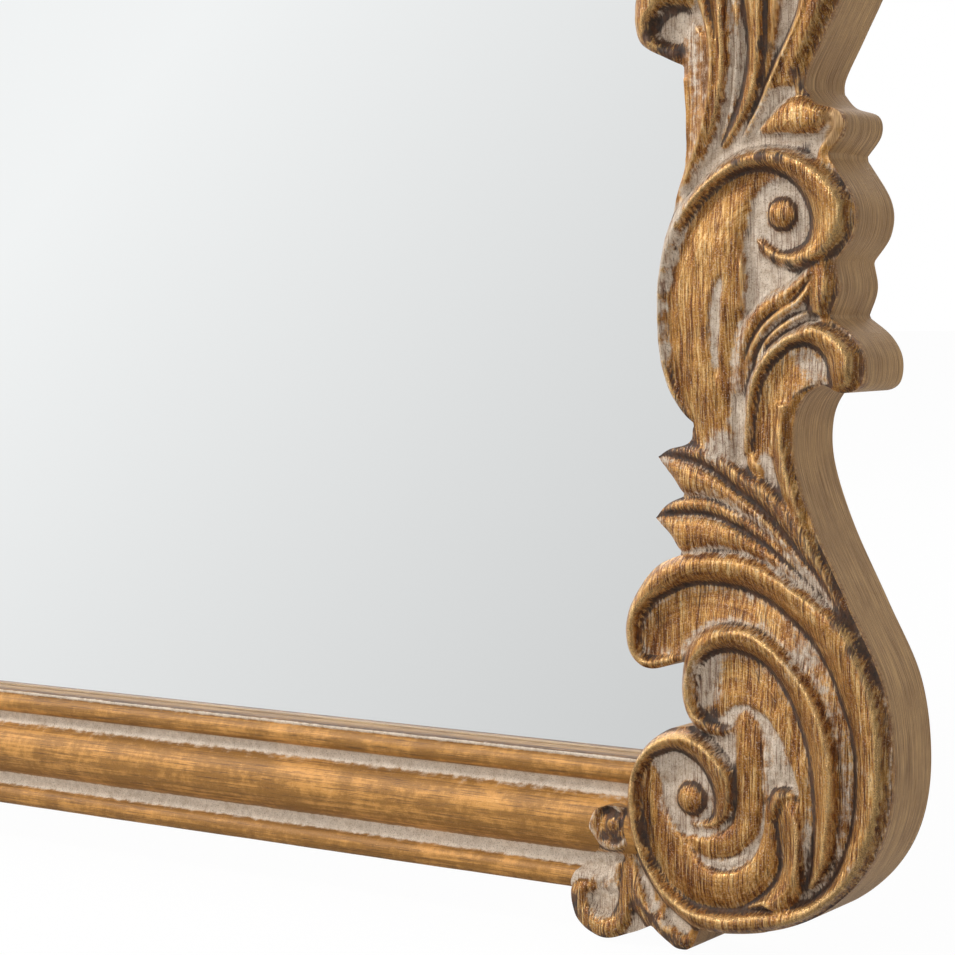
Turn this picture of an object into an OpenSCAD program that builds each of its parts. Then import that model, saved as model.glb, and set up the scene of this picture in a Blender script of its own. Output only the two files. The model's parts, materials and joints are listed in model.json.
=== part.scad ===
// Carved and gilded wall mirror: four carved corners, side scrolls, moulded rails and stiles,
// a silvered plate in a rebate, and two swinging rings on the back.
// X runs to the right, Z up, and the front faces -Y. The wall is the plane Y = 0.
// A depth in this file is a distance from the wall, so a larger depth lies nearer the viewer.

/* [Frame] */
// Overall width
frame_width = 760; // [700:10:960]
// Overall height
frame_height = 1060; // [1000:10:1300]
// Thickness of the timber, from its back to the edge where the carving starts
timber = 38; // [34:1:46]
// How far the carved ridges stand above that edge
ridge_rise = 3; // [2:0.5:5]
// Depth of the carved hollows below that edge
hollow_depth = 6; // [4:0.5:8]

/* [Moulding] */
// Width of the moulded rails and stiles
moulding_width = 54; // [48:1:60]
// Diameter of the large half round
torus_d = 24; // [20:1:26]
// Diameter of the small beads at both edges
bead_d = 9; // [7:0.5:10]
// How far the beads stay behind the half round
bead_setback = 5; // [4:0.5:7]

/* [Plate and back] */
// Width of the rebate that covers the edge of the plate
rebate = 9; // [7:1:12]
// Distance from the carved edge back to the face of the plate
plate_setback = 17.5; // [15:0.5:19]
// Thickness of the silvered plate
plate_thick = 4; // [3:1:6]
// Play round the plate in its rebate
plate_play = 1; // [0.5:0.25:2]
// Thickness of the packing sheet
foam_thick = 2; // [1:0.5:3]
// Thickness of the back board
board_thick = 6; // [3:1:7]

/* [Joints] */
// Thickness of the loose tenons
tenon_thick = 8; // [6:1:10]
// Width of the loose tenons
tenon_wide = 22; // [16:1:24]
// Length of the loose tenons
tenon_long = 44; // [30:2:56]
// Play round a tenon in its mortise
tenon_play = 0.2; // [0.1:0.05:0.4]

/* [Hanging] */
// Gap between the wall and the timber, filled by the bumpers
wall_gap = 7; // [6.6:0.2:9]
// Diameter of the bumpers
bumper_d = 16; // [10:1:22]
// Distance of the rings' pivots below the top of the frame
hanger_drop = 340; // [280:5:420]
// Diameter of the ring wire
ring_wire = 3; // [2.5:0.25:3]
// Clear width inside the ring
ring_clear = 22; // [18:1:26]
// Thickness of the strap steel
strap_thick = 1.2; // [0.8:0.1:1.2]
// Width of the strap
strap_wide = 16; // [12:1:17]
// Diameter of the strap's screws
screw_d = 3.5; // [3:0.5:4]
// Length of the strap's screws under the head
screw_long = 16; // [12:1:20]

/* [Hidden] */
$fn = 48;

gold = "#a97c42";
steel = "#b8bcc0";
rubber = "dimgray";

half_width = frame_width / 2;
edge_depth = wall_gap + timber;
plate_depth = edge_depth - plate_setback;

// The carving is laid out from the frame's outer edge (x = 0, inward is negative) and its bottom.
sight_x = -82;
rail_low = 16.5;
rail_high = rail_low + moulding_width;
stile_x = sight_x + moulding_width;
corner_joint_x = -140;
scroll_joint_z = 193;
stile_joint_z = 425;
carving_facets = 6;
eye_facets = 8;
foot_setback = 4;
cove_setback = 2;
stub_long = 40;

// Points on a smooth curve through the given ones.
function bend(a, b, c, d, t) =
    0.5 * (2 * b + (c - a) * t + (2 * a - 5 * b + 4 * c - d) * t * t + (3 * b - a - 3 * c + d) * t * t * t);
function smooth(p, steps = 2) = let (n = len(p) - 1) [
    for (i = [0 : n - 1], s = [0 : steps - 1])
        bend(p[max(i - 1, 0)], p[i], p[i + 1], p[min(i + 2, n)], s / steps),
    p[n]
];

// Outline of the carving, in runs that meet at its sharp corners.
lip_leaf = [[-99, 8], [-92.5, 3], [-87, 0], [-82, 2], [-79, 9]];
outer_sweep = [
    [-79, 9], [-66, 9.5], [-50, 12], [-30, 20], [-13, 35], [-3, 54], [0, 78], [-4, 106],
    [-17, 133], [-31, 161], [-39, 184], [-39.5, 200], [-35, 210], [-28, 214]
];
hook_end = [[-28, 214], [-19, 211], [-12.5, 214], [-11.5, 223], [-16, 231], [-25, 238]];
side_bump = [[-25, 238], [-21.5, 248], [-23, 258]];
scroll_back = [[-23, 258], [-16, 268], [-16, 280], [-26, 296]];
fin_end = [[-26, 296], [-20, 304], [-21, 311], [-30, 314.5], [-35, 320]];
spray_edge = [[-35, 320], [-34, 326], [-26, 341], [-15, 363], [-4, 396]];
spray_tip = [[-4, 396], [-14, 394], [-14, 410], [-22, 412], [stile_x, stile_joint_z], [sight_x, stile_joint_z]];
curl = [
    [sight_x, 378], [-92, 368], [-101, 361], [-103, 350], [-100, 340], [-91, 334.5], [-84, 331]
];
scroll_front = [
    [-84, 331], [-82.5, 312], [-83, 296], [-88, 279], [-93, 256], [-93.5, 230], [-89, 210], [-80, 199]
];
leaf_high = [[-82.5, 192], [-90, 189.5], [-95.5, 186.5]];
leaf_high_under = [[-95.5, 186.5], [-88, 179], [-83, 172.5]];
leaf_low = [[-83, 172.5], [-91, 169], [-96.5, 163.5]];
leaf_low_under = [[-96.5, 163.5], [-89, 157], [-84.5, 150.5]];
big_lobe = [
    [-84.5, 150.5], [-97, 144], [-107, 128], [-108, 115], [-99, 106.5], [-84, 111]
];
small_lobe = [[-84, 111], [-84.5, 98], [-80, 86]];
volute_left = [
    [-80, 86], [-92, 83.5], [-102, 74], [-108, 58], [-108, 44], [-103, 33], [-95, 21], [-99, 8]
];
carving_outline = concat(
    smooth(lip_leaf), smooth(outer_sweep), smooth(hook_end), smooth(side_bump), smooth(scroll_back),
    smooth(fin_end), smooth(spray_edge), spray_tip, smooth(curl), smooth(scroll_front), smooth(leaf_high),
    smooth(leaf_high_under), smooth(leaf_low), smooth(leaf_low_under), smooth(big_lobe),
    smooth(small_lobe), smooth(volute_left)
);
foot_back = [[-90, 20], [-106, 46], [-119, 40], [-131, 28], [-137, 17]];
foot_round = [[-137, 17], [-133, 6], [-122, 0], [-110, 3], [-99, 8]];
foot_scroll_outline = concat(foot_back, smooth(foot_round));

// Centre lines of the raised ridges: x, z and the ridge's width.
scroll_ridge = [
    [-101, 124, 7], [-95, 138, 9], [-82, 144.5, 10], [-66, 145.5, 10], [-50, 142, 11], [-34, 132, 12],
    [-20, 116, 12], [-10, 96, 11], [-7, 76, 10], [-8, 58, 10], [-15, 40, 10], [-29, 27, 10],
    [-48, 19, 10], [-68, 15, 9], [-86, 20, 9], [-98, 32, 8], [-104, 48, 7], [-102, 64, 8],
    [-93, 76, 8], [-81, 79, 8], [-70, 73, 8], [-66, 61, 8], [-70, 51, 7], [-80, 47, 5]
];
lobe_ridge = [
    [-66, 88, 6], [-76, 91, 6], [-81, 101, 6], [-78, 113, 7], [-67, 119.5, 8], [-53, 118, 9],
    [-41, 110, 9], [-32, 97, 9], [-26, 82, 9], [-24, 64, 9], [-26, 48, 8], [-31, 34, 5]
];
tongue_ridge = [[-57, 90, 9], [-57, 60, 10], [-60, 45, 9], [-72, 40, 7], [-84, 43, 5]];
bowl_ridge = [[-96, 50, 6], [-92, 36, 8], [-78, 26, 10], [-62, 25, 10], [-50, 33, 8], [-46, 50, 5]];
leaf_low_ridge = [[-93, 164.5, 4], [-76, 167, 8], [-58, 161, 8], [-42, 149, 6], [-32, 138, 4]];
leaf_high_ridge = [[-92, 187.5, 4], [-76, 188, 8], [-60, 180, 8], [-45, 166, 7], [-33, 150, 4]];
c_scroll_ridge = [
    [-79, 200, 6], [-87, 214, 8], [-90, 232, 8], [-89, 254, 8], [-83, 274, 9], [-72, 288, 9],
    [-57, 295, 9], [-42, 295, 9], [-28, 288, 9], [-22, 275, 8], [-25, 263, 7], [-36, 257, 6], [-48, 260, 4]
];
belly_ridge = [[-68, 200, 8], [-74, 230, 10], [-72, 262, 9], [-60, 280, 6]];
sweep_ridge = [[-56, 192, 5], [-56, 212, 6], [-50, 232, 7], [-40, 243, 6], [-28, 252, 5]];
hook_ridge = [[-46, 190, 6], [-46, 210, 7], [-38, 224, 8], [-26, 228, 8], [-18, 219, 9]];
fin_ridge = [[-54, 305, 4], [-40, 310, 9], [-30, 309, 11]];
spray_ridges = [
    [[-84, 292, 4], [-75, 316, 7], [-74, 336, 7], [-80, 352, 8], [-92, 355, 9], [-98, 347, 8]],
    [[-78, 292, 4], [-66, 322, 8], [-64, 352, 8], [-72, 388, 8], [-76, 425, 7]],
    [[-68, 296, 4], [-53, 325, 8], [-46, 355, 8], [-50, 390, 9], [-56, 425, 9]],
    [[-58, 299, 4], [-40, 328, 7], [-26, 358, 8], [-22, 388, 8], [-32, 425, 7]],
    [[-30, 345, 4], [-16, 370, 7], [-8, 388, 6]]
];
ridges = concat(
    [
        scroll_ridge, lobe_ridge, tongue_ridge, bowl_ridge, leaf_low_ridge, leaf_high_ridge,
        c_scroll_ridge, belly_ridge, sweep_ridge, hook_ridge, fin_ridge
    ],
    spray_ridges
);

// Centre lines of the carved hollows: x, z and the hollow's width.
lobe_hollow = [
    [-94, 122, 12], [-80, 132, 12], [-62, 133, 12], [-46, 125, 12], [-32, 110, 10], [-22, 90, 8],
    [-18, 66, 6], [-21, 46, 5]
];
small_lobe_hollow = [[-70, 104, 16], [-56, 104, 16], [-44, 94, 12], [-37, 78, 8], [-35, 56, 6]];
volute_hollow = [[-70, 34, 8], [-58, 35, 8], [-52, 48, 8], [-50, 82, 7]];
eye_hollow = [[-80, 59, 22], [-81, 60, 22]];
sweep_hollow = [[-50, 262, 14], [-51, 246, 8], [-62, 222, 6], [-62, 198, 6]];
eye_high_hollow = [[-41, 274, 22], [-42, 274, 22]];
hook_hollow = [[-36, 190, 5], [-36, 206, 7], [-28, 219, 10]];
hollows = [
    lobe_hollow, small_lobe_hollow, volute_hollow, eye_hollow, sweep_hollow, eye_high_hollow, hook_hollow
];

// Centres and radii of the round eyes of the scrolls.
eyes = [[-79, 59, 6.5], [-41, 274, 6.5], [-116, 46, 5], [-124, 12, 5]];

module from_wall(low, high)
    translate([0, -low, 0]) rotate([90, 0, 0]) linear_extrude(high - low) children();

module at_depth(x, z, depth) translate([x, -depth, z]) rotate([90, 0, 0]) children();

module ridge(path, low, high) {
    for (i = [0 : len(path) - 2])
        hull() for (p = [path[i], path[i + 1]])
            at_depth(p[0], p[1], low)
                cylinder(h = high - low, r1 = p[2] / 2, r2 = p[2] / 5, $fn = carving_facets);
}

module hollow(path, low, high) {
    for (i = [0 : len(path) - 2])
        hull() for (p = [path[i], path[i + 1]])
            at_depth(p[0], p[1], low)
                cylinder(h = high - low, r1 = p[2] / 6, r2 = p[2] / 2, $fn = carving_facets);
}

// Section of the moulding: x is the depth and y runs from the outer edge to the sight edge.
module moulding_section() {
    torus_y = moulding_width / 2;
    bead_y = bead_d / 2;
    bead_x = edge_depth - bead_setback - bead_d / 2;
    face = edge_depth - torus_d / 2;
    translate([wall_gap, 0]) square([face - cove_setback - wall_gap, moulding_width]);
    translate([face, torus_y]) circle(d = torus_d);
    for (y = [bead_y, moulding_width - bead_y]) {
        translate([bead_x, y]) circle(d = bead_d);
        translate([wall_gap, y - bead_y]) square([bead_x - wall_gap, bead_d]);
    }
}

// A length of moulding along X, from its outer edge at z = 0 up to its sight edge.
module moulding(length) {
    rotate([90, 0, 90]) linear_extrude(length) mirror([1, 0]) moulding_section();
}

module rebate_pocket() {
    half = half_width + sight_x + rebate;
    low = rail_high - rebate;
    translate([-half, -plate_depth, low])
        cube([2 * half, plate_depth, frame_height - 2 * low]);
}

module mirrored_all() {
    for (side = [0, 1], end = [0, 1])
        mirror([side, 0, 0]) translate([0, 0, end * frame_height]) mirror([0, 0, end]) children();
}

tenon_depth = wall_gap + timber / 4 + tenon_thick / 2;
rail_tenon_rise = 22;
rail_tenon_z = rail_low + rail_tenon_rise;
neck_tenon_x = -57;
stile_tenon_x = -50;

// A tongue lies across a joint: half of it in each piece.
module tongue(play) {
    size = [tenon_wide, tenon_thick, tenon_long] + [2, 2, 2] * play;
    cube(size, center = true);
}

module tongues(play = 0) {
    mirrored_all() translate([half_width, -tenon_depth, 0]) {
        translate([corner_joint_x, 0, rail_tenon_z]) rotate([0, 90, 0]) tongue(play);
        translate([neck_tenon_x, 0, scroll_joint_z]) tongue(play);
        translate([stile_tenon_x, 0, stile_joint_z]) tongue(play);
    }
}

board_depth = plate_depth - plate_thick - foam_thick - board_thick;
tab_size = [12, 24, 0.8];
tab_play = 0.1;
rail_tab_x = [0, half_width / 2];
side_tab_z = [250, 350, 470];

module tab(play) translate([0, -board_depth + tab_size[2] / 2, 0])
    cube([tab_size[0] + 2 * play, tab_size[2] + 2 * play, tab_size[1] + 2 * play], center = true);

module tabs(play = 0) {
    mirrored_all() {
        for (x = rail_tab_x) translate([x, 0, rail_high - rebate]) tab(play);
        for (z = side_tab_z) translate([half_width + sight_x + rebate, 0, z]) rotate([0, 90, 0]) tab(play);
    }
}

module joinery() {
    rebate_pocket();
    tongues(tenon_play);
    tabs(tab_play);
}

// The carved right-hand side of the lower half, from the rail's end up to the plain stile.
module carving() {
    floor_depth = edge_depth - hollow_depth;
    translate([half_width, 0, 0]) {
        difference() {
            from_wall(wall_gap, edge_depth) polygon(carving_outline);
            for (path = hollows) hollow(path, floor_depth, edge_depth + 0.1);
        }
        for (path = ridges) ridge(path, floor_depth, edge_depth + ridge_rise);
        from_wall(wall_gap, edge_depth - foot_setback) polygon(foot_scroll_outline);
        for (e = eyes) at_depth(e[0], e[1], floor_depth) sphere(r = e[2], $fn = eye_facets);
        translate([corner_joint_x, 0, rail_low]) moulding(stub_long);
    }
}

// One block of the carving, between two heights.
module carved_block(low, high) {
    difference() {
        intersection() {
            carving();
            translate([0, -2 * edge_depth, low]) cube([frame_width, 2 * edge_depth, high - low]);
        }
        joinery();
    }
}

module lower_corner() color(gold) carved_block(0, scroll_joint_z);
module lower_scroll() color(gold) carved_block(scroll_joint_z, stile_joint_z);

module stile() color(gold) {
    difference() {
        translate([half_width + stile_x, 0, stile_joint_z])
            rotate([0, -90, 0]) moulding(frame_height - 2 * stile_joint_z);
        joinery();
        screw_holes();
    }
}

module rail() color(gold) {
    difference() {
        translate([-half_width - corner_joint_x, 0, rail_low])
            moulding(frame_width + 2 * corner_joint_x);
        joinery();
    }
}

module upper_scroll() color(gold) {
    difference() {
        upper() lower_scroll();
        screw_holes();
    }
}

module upper() translate([0, 0, frame_height]) mirror([0, 0, 1]) children();
module left() mirror([1, 0, 0]) children();

module loose_tenons() color("tan") tongues();
module retaining_tabs() color(steel) tabs();

module mirror_glass() color("lightsteelblue") {
    half = half_width + sight_x + rebate - plate_play;
    low = rail_high - rebate + plate_play;
    translate([-half, -plate_depth, low]) cube([2 * half, plate_thick, frame_height - 2 * low]);
}

pad_length = 30;
pad_x = half_width / 2.5;

module setting_pads() color(rubber) {
    for (x = [-pad_x, pad_x])
        translate([x - pad_length / 2, -plate_depth, rail_high - rebate])
            cube([pad_length, plate_thick, plate_play]);
}

module backing_sheet(front, thick) {
    half = half_width + sight_x + rebate - plate_play;
    low = rail_high - rebate + plate_play;
    translate([-half, -front, low]) cube([2 * half, thick, frame_height - 2 * low]);
}

hanger_inset = 50;
hanger_x = half_width - hanger_inset;
hanger_height = frame_height - hanger_drop;
ring_play = 0.3;
strap_bore = ring_wire / 2 + ring_play;
fold_r = strap_bore + strap_thick;
pivot_depth = wall_gap - fold_r;
ring_high = 20;
ring_half = (ring_clear + ring_wire) / 2;
fold_lap = 0.1;
leaf_end = -3 * fold_r;
doubled_long = 10;
single_long = 20;
doubled_end = leaf_end - doubled_long;
strap_end = doubled_end - single_long;
screw_inset = [5, 7];
screw_z = [doubled_end + screw_inset[0], strap_end + screw_inset[1]];
screw_head_d = 2 * screw_d;
screw_head_h = 1.8;
screw_sides = 16;
screw_play = 0.1;

// Strap folded round the ring's straight bar. Its return leaf slants back and is pressed on the first.
module strap_section() {
    translate([fold_r, 0]) circle(r = fold_r);
    translate([0, strap_end]) square([strap_thick, -strap_end]);
    polygon([
        [2 * fold_r - fold_lap, 0], [2 * strap_thick, leaf_end], [2 * strap_thick, doubled_end],
        [strap_thick - fold_lap, doubled_end], [strap_thick - fold_lap, leaf_end],
        [2 * fold_r - strap_thick + fold_lap, 0]
    ]);
}

module foam_sheet() color("white") backing_sheet(plate_depth - plate_thick, foam_thick);
module back_board() color("sienna") backing_sheet(board_depth + board_thick, board_thick);

module hanger_strap() color(steel) {
    difference() {
        translate([hanger_x - strap_wide / 2, -wall_gap, hanger_height])
            rotate([90, 0, 90]) linear_extrude(strap_wide) strap_section();
        translate([hanger_x, -pivot_depth, hanger_height]) rotate([0, 90, 0])
            cylinder(h = strap_wide + 1, r = strap_bore, center = true);
        screw_shanks(screw_play);
    }
}

module d_ring() color(steel) {
    translate([hanger_x, -pivot_depth, hanger_height]) {
        rotate([0, 90, 0]) cylinder(h = 2 * ring_half, d = ring_wire, center = true);
        for (side = [-1, 1])
            translate([side * ring_half, 0, 0]) {
                sphere(d = ring_wire);
                cylinder(h = ring_high - ring_half, d = ring_wire);
            }
        translate([0, 0, ring_high - ring_half]) rotate([90, 0, 0])
            rotate_extrude(angle = 180) translate([ring_half, 0]) circle(d = ring_wire);
    }
}

module screw_shanks(play = 0) {
    for (z = screw_z)
        at_depth(hanger_x, hanger_height + z, wall_gap - 2 * strap_thick)
            cylinder(h = screw_long, r = screw_d / 2 + play);
}

// Holes that the screws' threads fill, as many-sided as the carved blocks are.
module screw_holes() {
    for (z = screw_z)
        at_depth(hanger_x, hanger_height + z, 0)
            cylinder(
                h = wall_gap - 2 * strap_thick + screw_long,
                r = screw_d / 2 / cos(180 / screw_sides), $fn = screw_sides
            );
}

module hanger_screws() color(steel) {
    for (side = [0, 1]) mirror([side, 0, 0]) {
        screw_shanks();
        for (i = [0, 1])
            at_depth(hanger_x, hanger_height + screw_z[i], wall_gap - (2 - i) * strap_thick - screw_head_h)
                cylinder(h = screw_head_h, r1 = screw_head_d / 2 - 1, r2 = screw_head_d / 2);
    }
}

bumper_inset = 45;

module wall_bumpers() color(rubber) {
    mirrored_all() translate([half_width - bumper_inset, 0, bumper_inset])
        rotate([90, 0, 0]) cylinder(h = wall_gap, d = bumper_d);
}

rail();  // bottom_rail
upper() rail();  // top_rail
left() stile();  // stile_left
stile();  // stile_right
left() lower_corner();  // lower_corner_left
lower_corner();  // lower_corner_right
upper() left() lower_corner();  // upper_corner_left
upper() lower_corner();  // upper_corner_right
left() lower_scroll();  // lower_scroll_left
lower_scroll();  // lower_scroll_right
left() upper_scroll();  // upper_scroll_left
upper_scroll();  // upper_scroll_right
loose_tenons();
mirror_glass();
setting_pads();
foam_sheet();
back_board();
retaining_tabs();
left() hanger_strap();  // hanger_strap_left
hanger_strap();  // hanger_strap_right
left() d_ring();  // d_ring_left
d_ring();  // d_ring_right
hanger_screws();
wall_bumpers();
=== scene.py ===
import json
from dataclasses import dataclass

import bmesh
import bpy
import numpy as np
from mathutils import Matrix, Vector


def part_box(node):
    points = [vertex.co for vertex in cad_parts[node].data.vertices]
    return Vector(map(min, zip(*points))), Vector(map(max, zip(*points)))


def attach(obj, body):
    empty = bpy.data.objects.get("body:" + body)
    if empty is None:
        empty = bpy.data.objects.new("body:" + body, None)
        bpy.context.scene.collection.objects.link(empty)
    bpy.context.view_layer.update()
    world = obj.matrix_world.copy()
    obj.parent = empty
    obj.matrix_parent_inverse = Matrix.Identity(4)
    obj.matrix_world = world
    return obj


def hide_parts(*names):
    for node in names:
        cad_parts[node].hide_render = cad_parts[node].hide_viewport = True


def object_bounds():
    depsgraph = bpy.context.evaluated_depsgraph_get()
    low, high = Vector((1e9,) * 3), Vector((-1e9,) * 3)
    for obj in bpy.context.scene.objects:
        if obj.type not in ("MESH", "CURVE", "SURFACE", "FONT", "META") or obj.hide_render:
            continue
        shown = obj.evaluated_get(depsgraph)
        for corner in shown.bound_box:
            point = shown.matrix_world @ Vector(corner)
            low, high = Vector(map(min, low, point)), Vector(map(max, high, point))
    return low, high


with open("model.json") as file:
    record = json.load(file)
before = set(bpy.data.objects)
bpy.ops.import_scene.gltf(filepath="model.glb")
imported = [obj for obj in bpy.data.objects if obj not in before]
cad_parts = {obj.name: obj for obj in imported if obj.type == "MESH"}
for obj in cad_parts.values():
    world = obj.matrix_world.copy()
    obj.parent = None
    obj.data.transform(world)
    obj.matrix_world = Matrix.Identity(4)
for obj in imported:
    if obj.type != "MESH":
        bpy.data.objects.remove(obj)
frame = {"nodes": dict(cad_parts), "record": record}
CAD_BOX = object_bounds()

bl_info = {
    "name": "Carved Gilt Wall Mirror",
    "version": (1, 0, 0),
    "blender": (4, 5, 0),
    "location": "3D View > Sidebar > Mirror",
    "description": "Builds the carved, gilded frame, the silvered plate and back fittings of a wall mirror",
    "category": "Add Mesh",
}

MM = 0.001
BODY = "frame"


def depth_of(node):
    """Distance from the wall to a node's front, in metres."""
    return -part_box(node)[0].y


def srgb(red, green, blue):
    """A colour as it is seen, 0 to 255, in the linear values that a shader takes."""
    seen = np.array([red, green, blue]) / 255
    linear = np.where(seen <= 0.04045, seen / 12.92, ((seen + 0.055) / 1.055) ** 2.4)
    return tuple(float(c) for c in linear)


def length(name, description, default):
    return bpy.props.FloatProperty(
        name=name, description=description, default=default, min=0, subtype="DISTANCE", unit="LENGTH"
    )


def colour(name, description, red, green, blue):
    return bpy.props.FloatVectorProperty(
        name=name, description=description, default=srgb(red, green, blue), min=0, max=1, subtype="COLOR"
    )


class MirrorSizes(bpy.types.PropertyGroup):
    """Sizes of the frame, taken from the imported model, and of the carving's own detail."""

    half_width: length("Half width", "From the middle of the frame to its outer edge", CAD_BOX[1].x)
    height: length("Height", "Overall height of the frame", CAD_BOX[1].z)
    back_depth: length("Back", "From the wall to the back of the timber", -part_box("bottom_rail")[1].y)
    edge_depth: length(
        "Carved edge", "From the wall to the edge that the carving starts at", depth_of("bottom_rail")
    )
    plate_depth: length("Plate", "From the wall to the face of the plate", depth_of("mirror_glass"))
    rebate_x: length("Rebate", "From the middle to the side of the rebate", 0.307)
    spacing: length("Spacing", "Distance between the points of a carved surface", 0.0008)
    tool_pitch: length("Tool pitch", "Distance between the marks of the carving tool", 0.0017)


class MirrorColours(bpy.types.PropertyGroup):
    """Colours of the gilding and its layers, as seen in daylight."""

    # Rubbed gold, also painted as a highlight along the carving's crests
    highlight: colour("Rubbed gold", "Gold where it is burnished most", 238, 197, 134)
    bright: colour("Bright gold", "Gold as it is laid", 197, 142, 70)
    deep: colour("Deep gold", "Gold in its thicker places", 154, 98, 44)
    ochre: colour("Ochre gold", "Thicker gold on the plain mouldings", 146, 101, 40)
    bole: colour("Bole", "Brown ground that shows through the gold", 100, 56, 28)
    # Also the pale of the painted highlights along lit rims, which the wax mark carries
    wax: colour("Wax", "Pale wax left in the hollows", 216, 202, 184)
    dust: colour("Dusty wax", "Wax where it is thin or dirty", 168, 147, 124)
    # Also the colour of the painted shade and shadows that the glaze mark carries
    glaze: colour("Glaze", "Dark glaze in the cuts", 48, 38, 34)
    umber: colour("Umber", "Glaze where it is thin", 80, 50, 30)
    flank: colour("Flank", "Brushed sides of the frame", 208, 168, 116)
    flank_line: colour("Flank lines", "Brush marks on the sides", 134, 98, 60)


class Wire:
    """A node's output. An expression on it adds the Math nodes that work it out."""

    def __init__(self, graph, socket):
        self.graph, self.socket = graph, socket

    def math(self, operation, *values):
        return self.graph.add("Math", {"operation": operation}, dict(enumerate(values)))

    def __add__(self, other):
        return self.math("ADD", self, other)

    def __sub__(self, other):
        return self.math("SUBTRACT", self, other)

    def __rsub__(self, other):
        return self.math("SUBTRACT", other, self)

    def __mul__(self, other):
        return self.math("MULTIPLY", self, other)

    def __pow__(self, other):
        return self.math("POWER", self, other)

    __radd__ = __add__
    __rmul__ = __mul__

    def sine(self):
        return self.math("SINE", self)

    def between(self, low, high):
        """0 below low, 1 above high, and a smooth step between them."""
        return self.graph.add(
            "MapRange", {"interpolation_type": "SMOOTHSTEP"},
            {"Value": self, "From Min": low, "From Max": high},
        )


class Graph:
    """The node tree of one finish."""

    def __init__(self, owner):
        owner.use_nodes = True
        self.owner, self.tree = owner, owner.node_tree
        self.tree.nodes.clear()

    def add(self, kind, settings=None, values=None, output=0):
        """Adds a node, sets it up, feeds its sockets, and returns one of its outputs."""
        node = self.tree.nodes.new("ShaderNode" + kind)
        for name, value in (settings or {}).items():
            setattr(node, name, value)
        for name, value in (values or {}).items():
            if isinstance(value, Wire):
                self.tree.links.new(value.socket, node.inputs[name])
            else:
                node.inputs[name].default_value = value
        return Wire(self, node.outputs[output]) if node.outputs else node

    def mix(self, factor, first, second):
        """Colour mix: the first colour at factor 0, the second at 1."""
        first, second = ((*c, 1) if not isinstance(c, Wire) else c for c in (first, second))
        return self.add("Mix", {"data_type": "RGBA"}, {0: factor, 6: first, 7: second}, 2)

    def attribute(self, name, output="Fac"):
        return self.add("Attribute", {"attribute_name": name}, output=output)

    def axis(self, where, name):
        """One coordinate of a place."""
        return self.add("SeparateXYZ", values={0: where}, output=name)

    def noise(self, where, stretch, detail=2.0, roughness=0.5):
        """Noise over a place, with its number of waves along each axis given by stretch."""
        where = self.add("VectorMath", {"operation": "MULTIPLY"}, {0: where, 1: stretch})
        values = {"Vector": where, "Scale": 1, "Detail": detail, "Roughness": roughness}
        return self.add("TexNoise", values=values)

    def bump(self, height, distance):
        values = {"Height": height, "Distance": distance, "Strength": 1}
        return self.add("Bump", values=values, output="Normal")

    def surface(self, values):
        """Ends the tree with a Principled surface."""
        shader = self.add("BsdfPrincipled", values=values)
        self.add("OutputMaterial", values={"Surface": shader})
        return self.owner


def finish_of(name):
    return Graph(bpy.data.materials.new(name))


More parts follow.
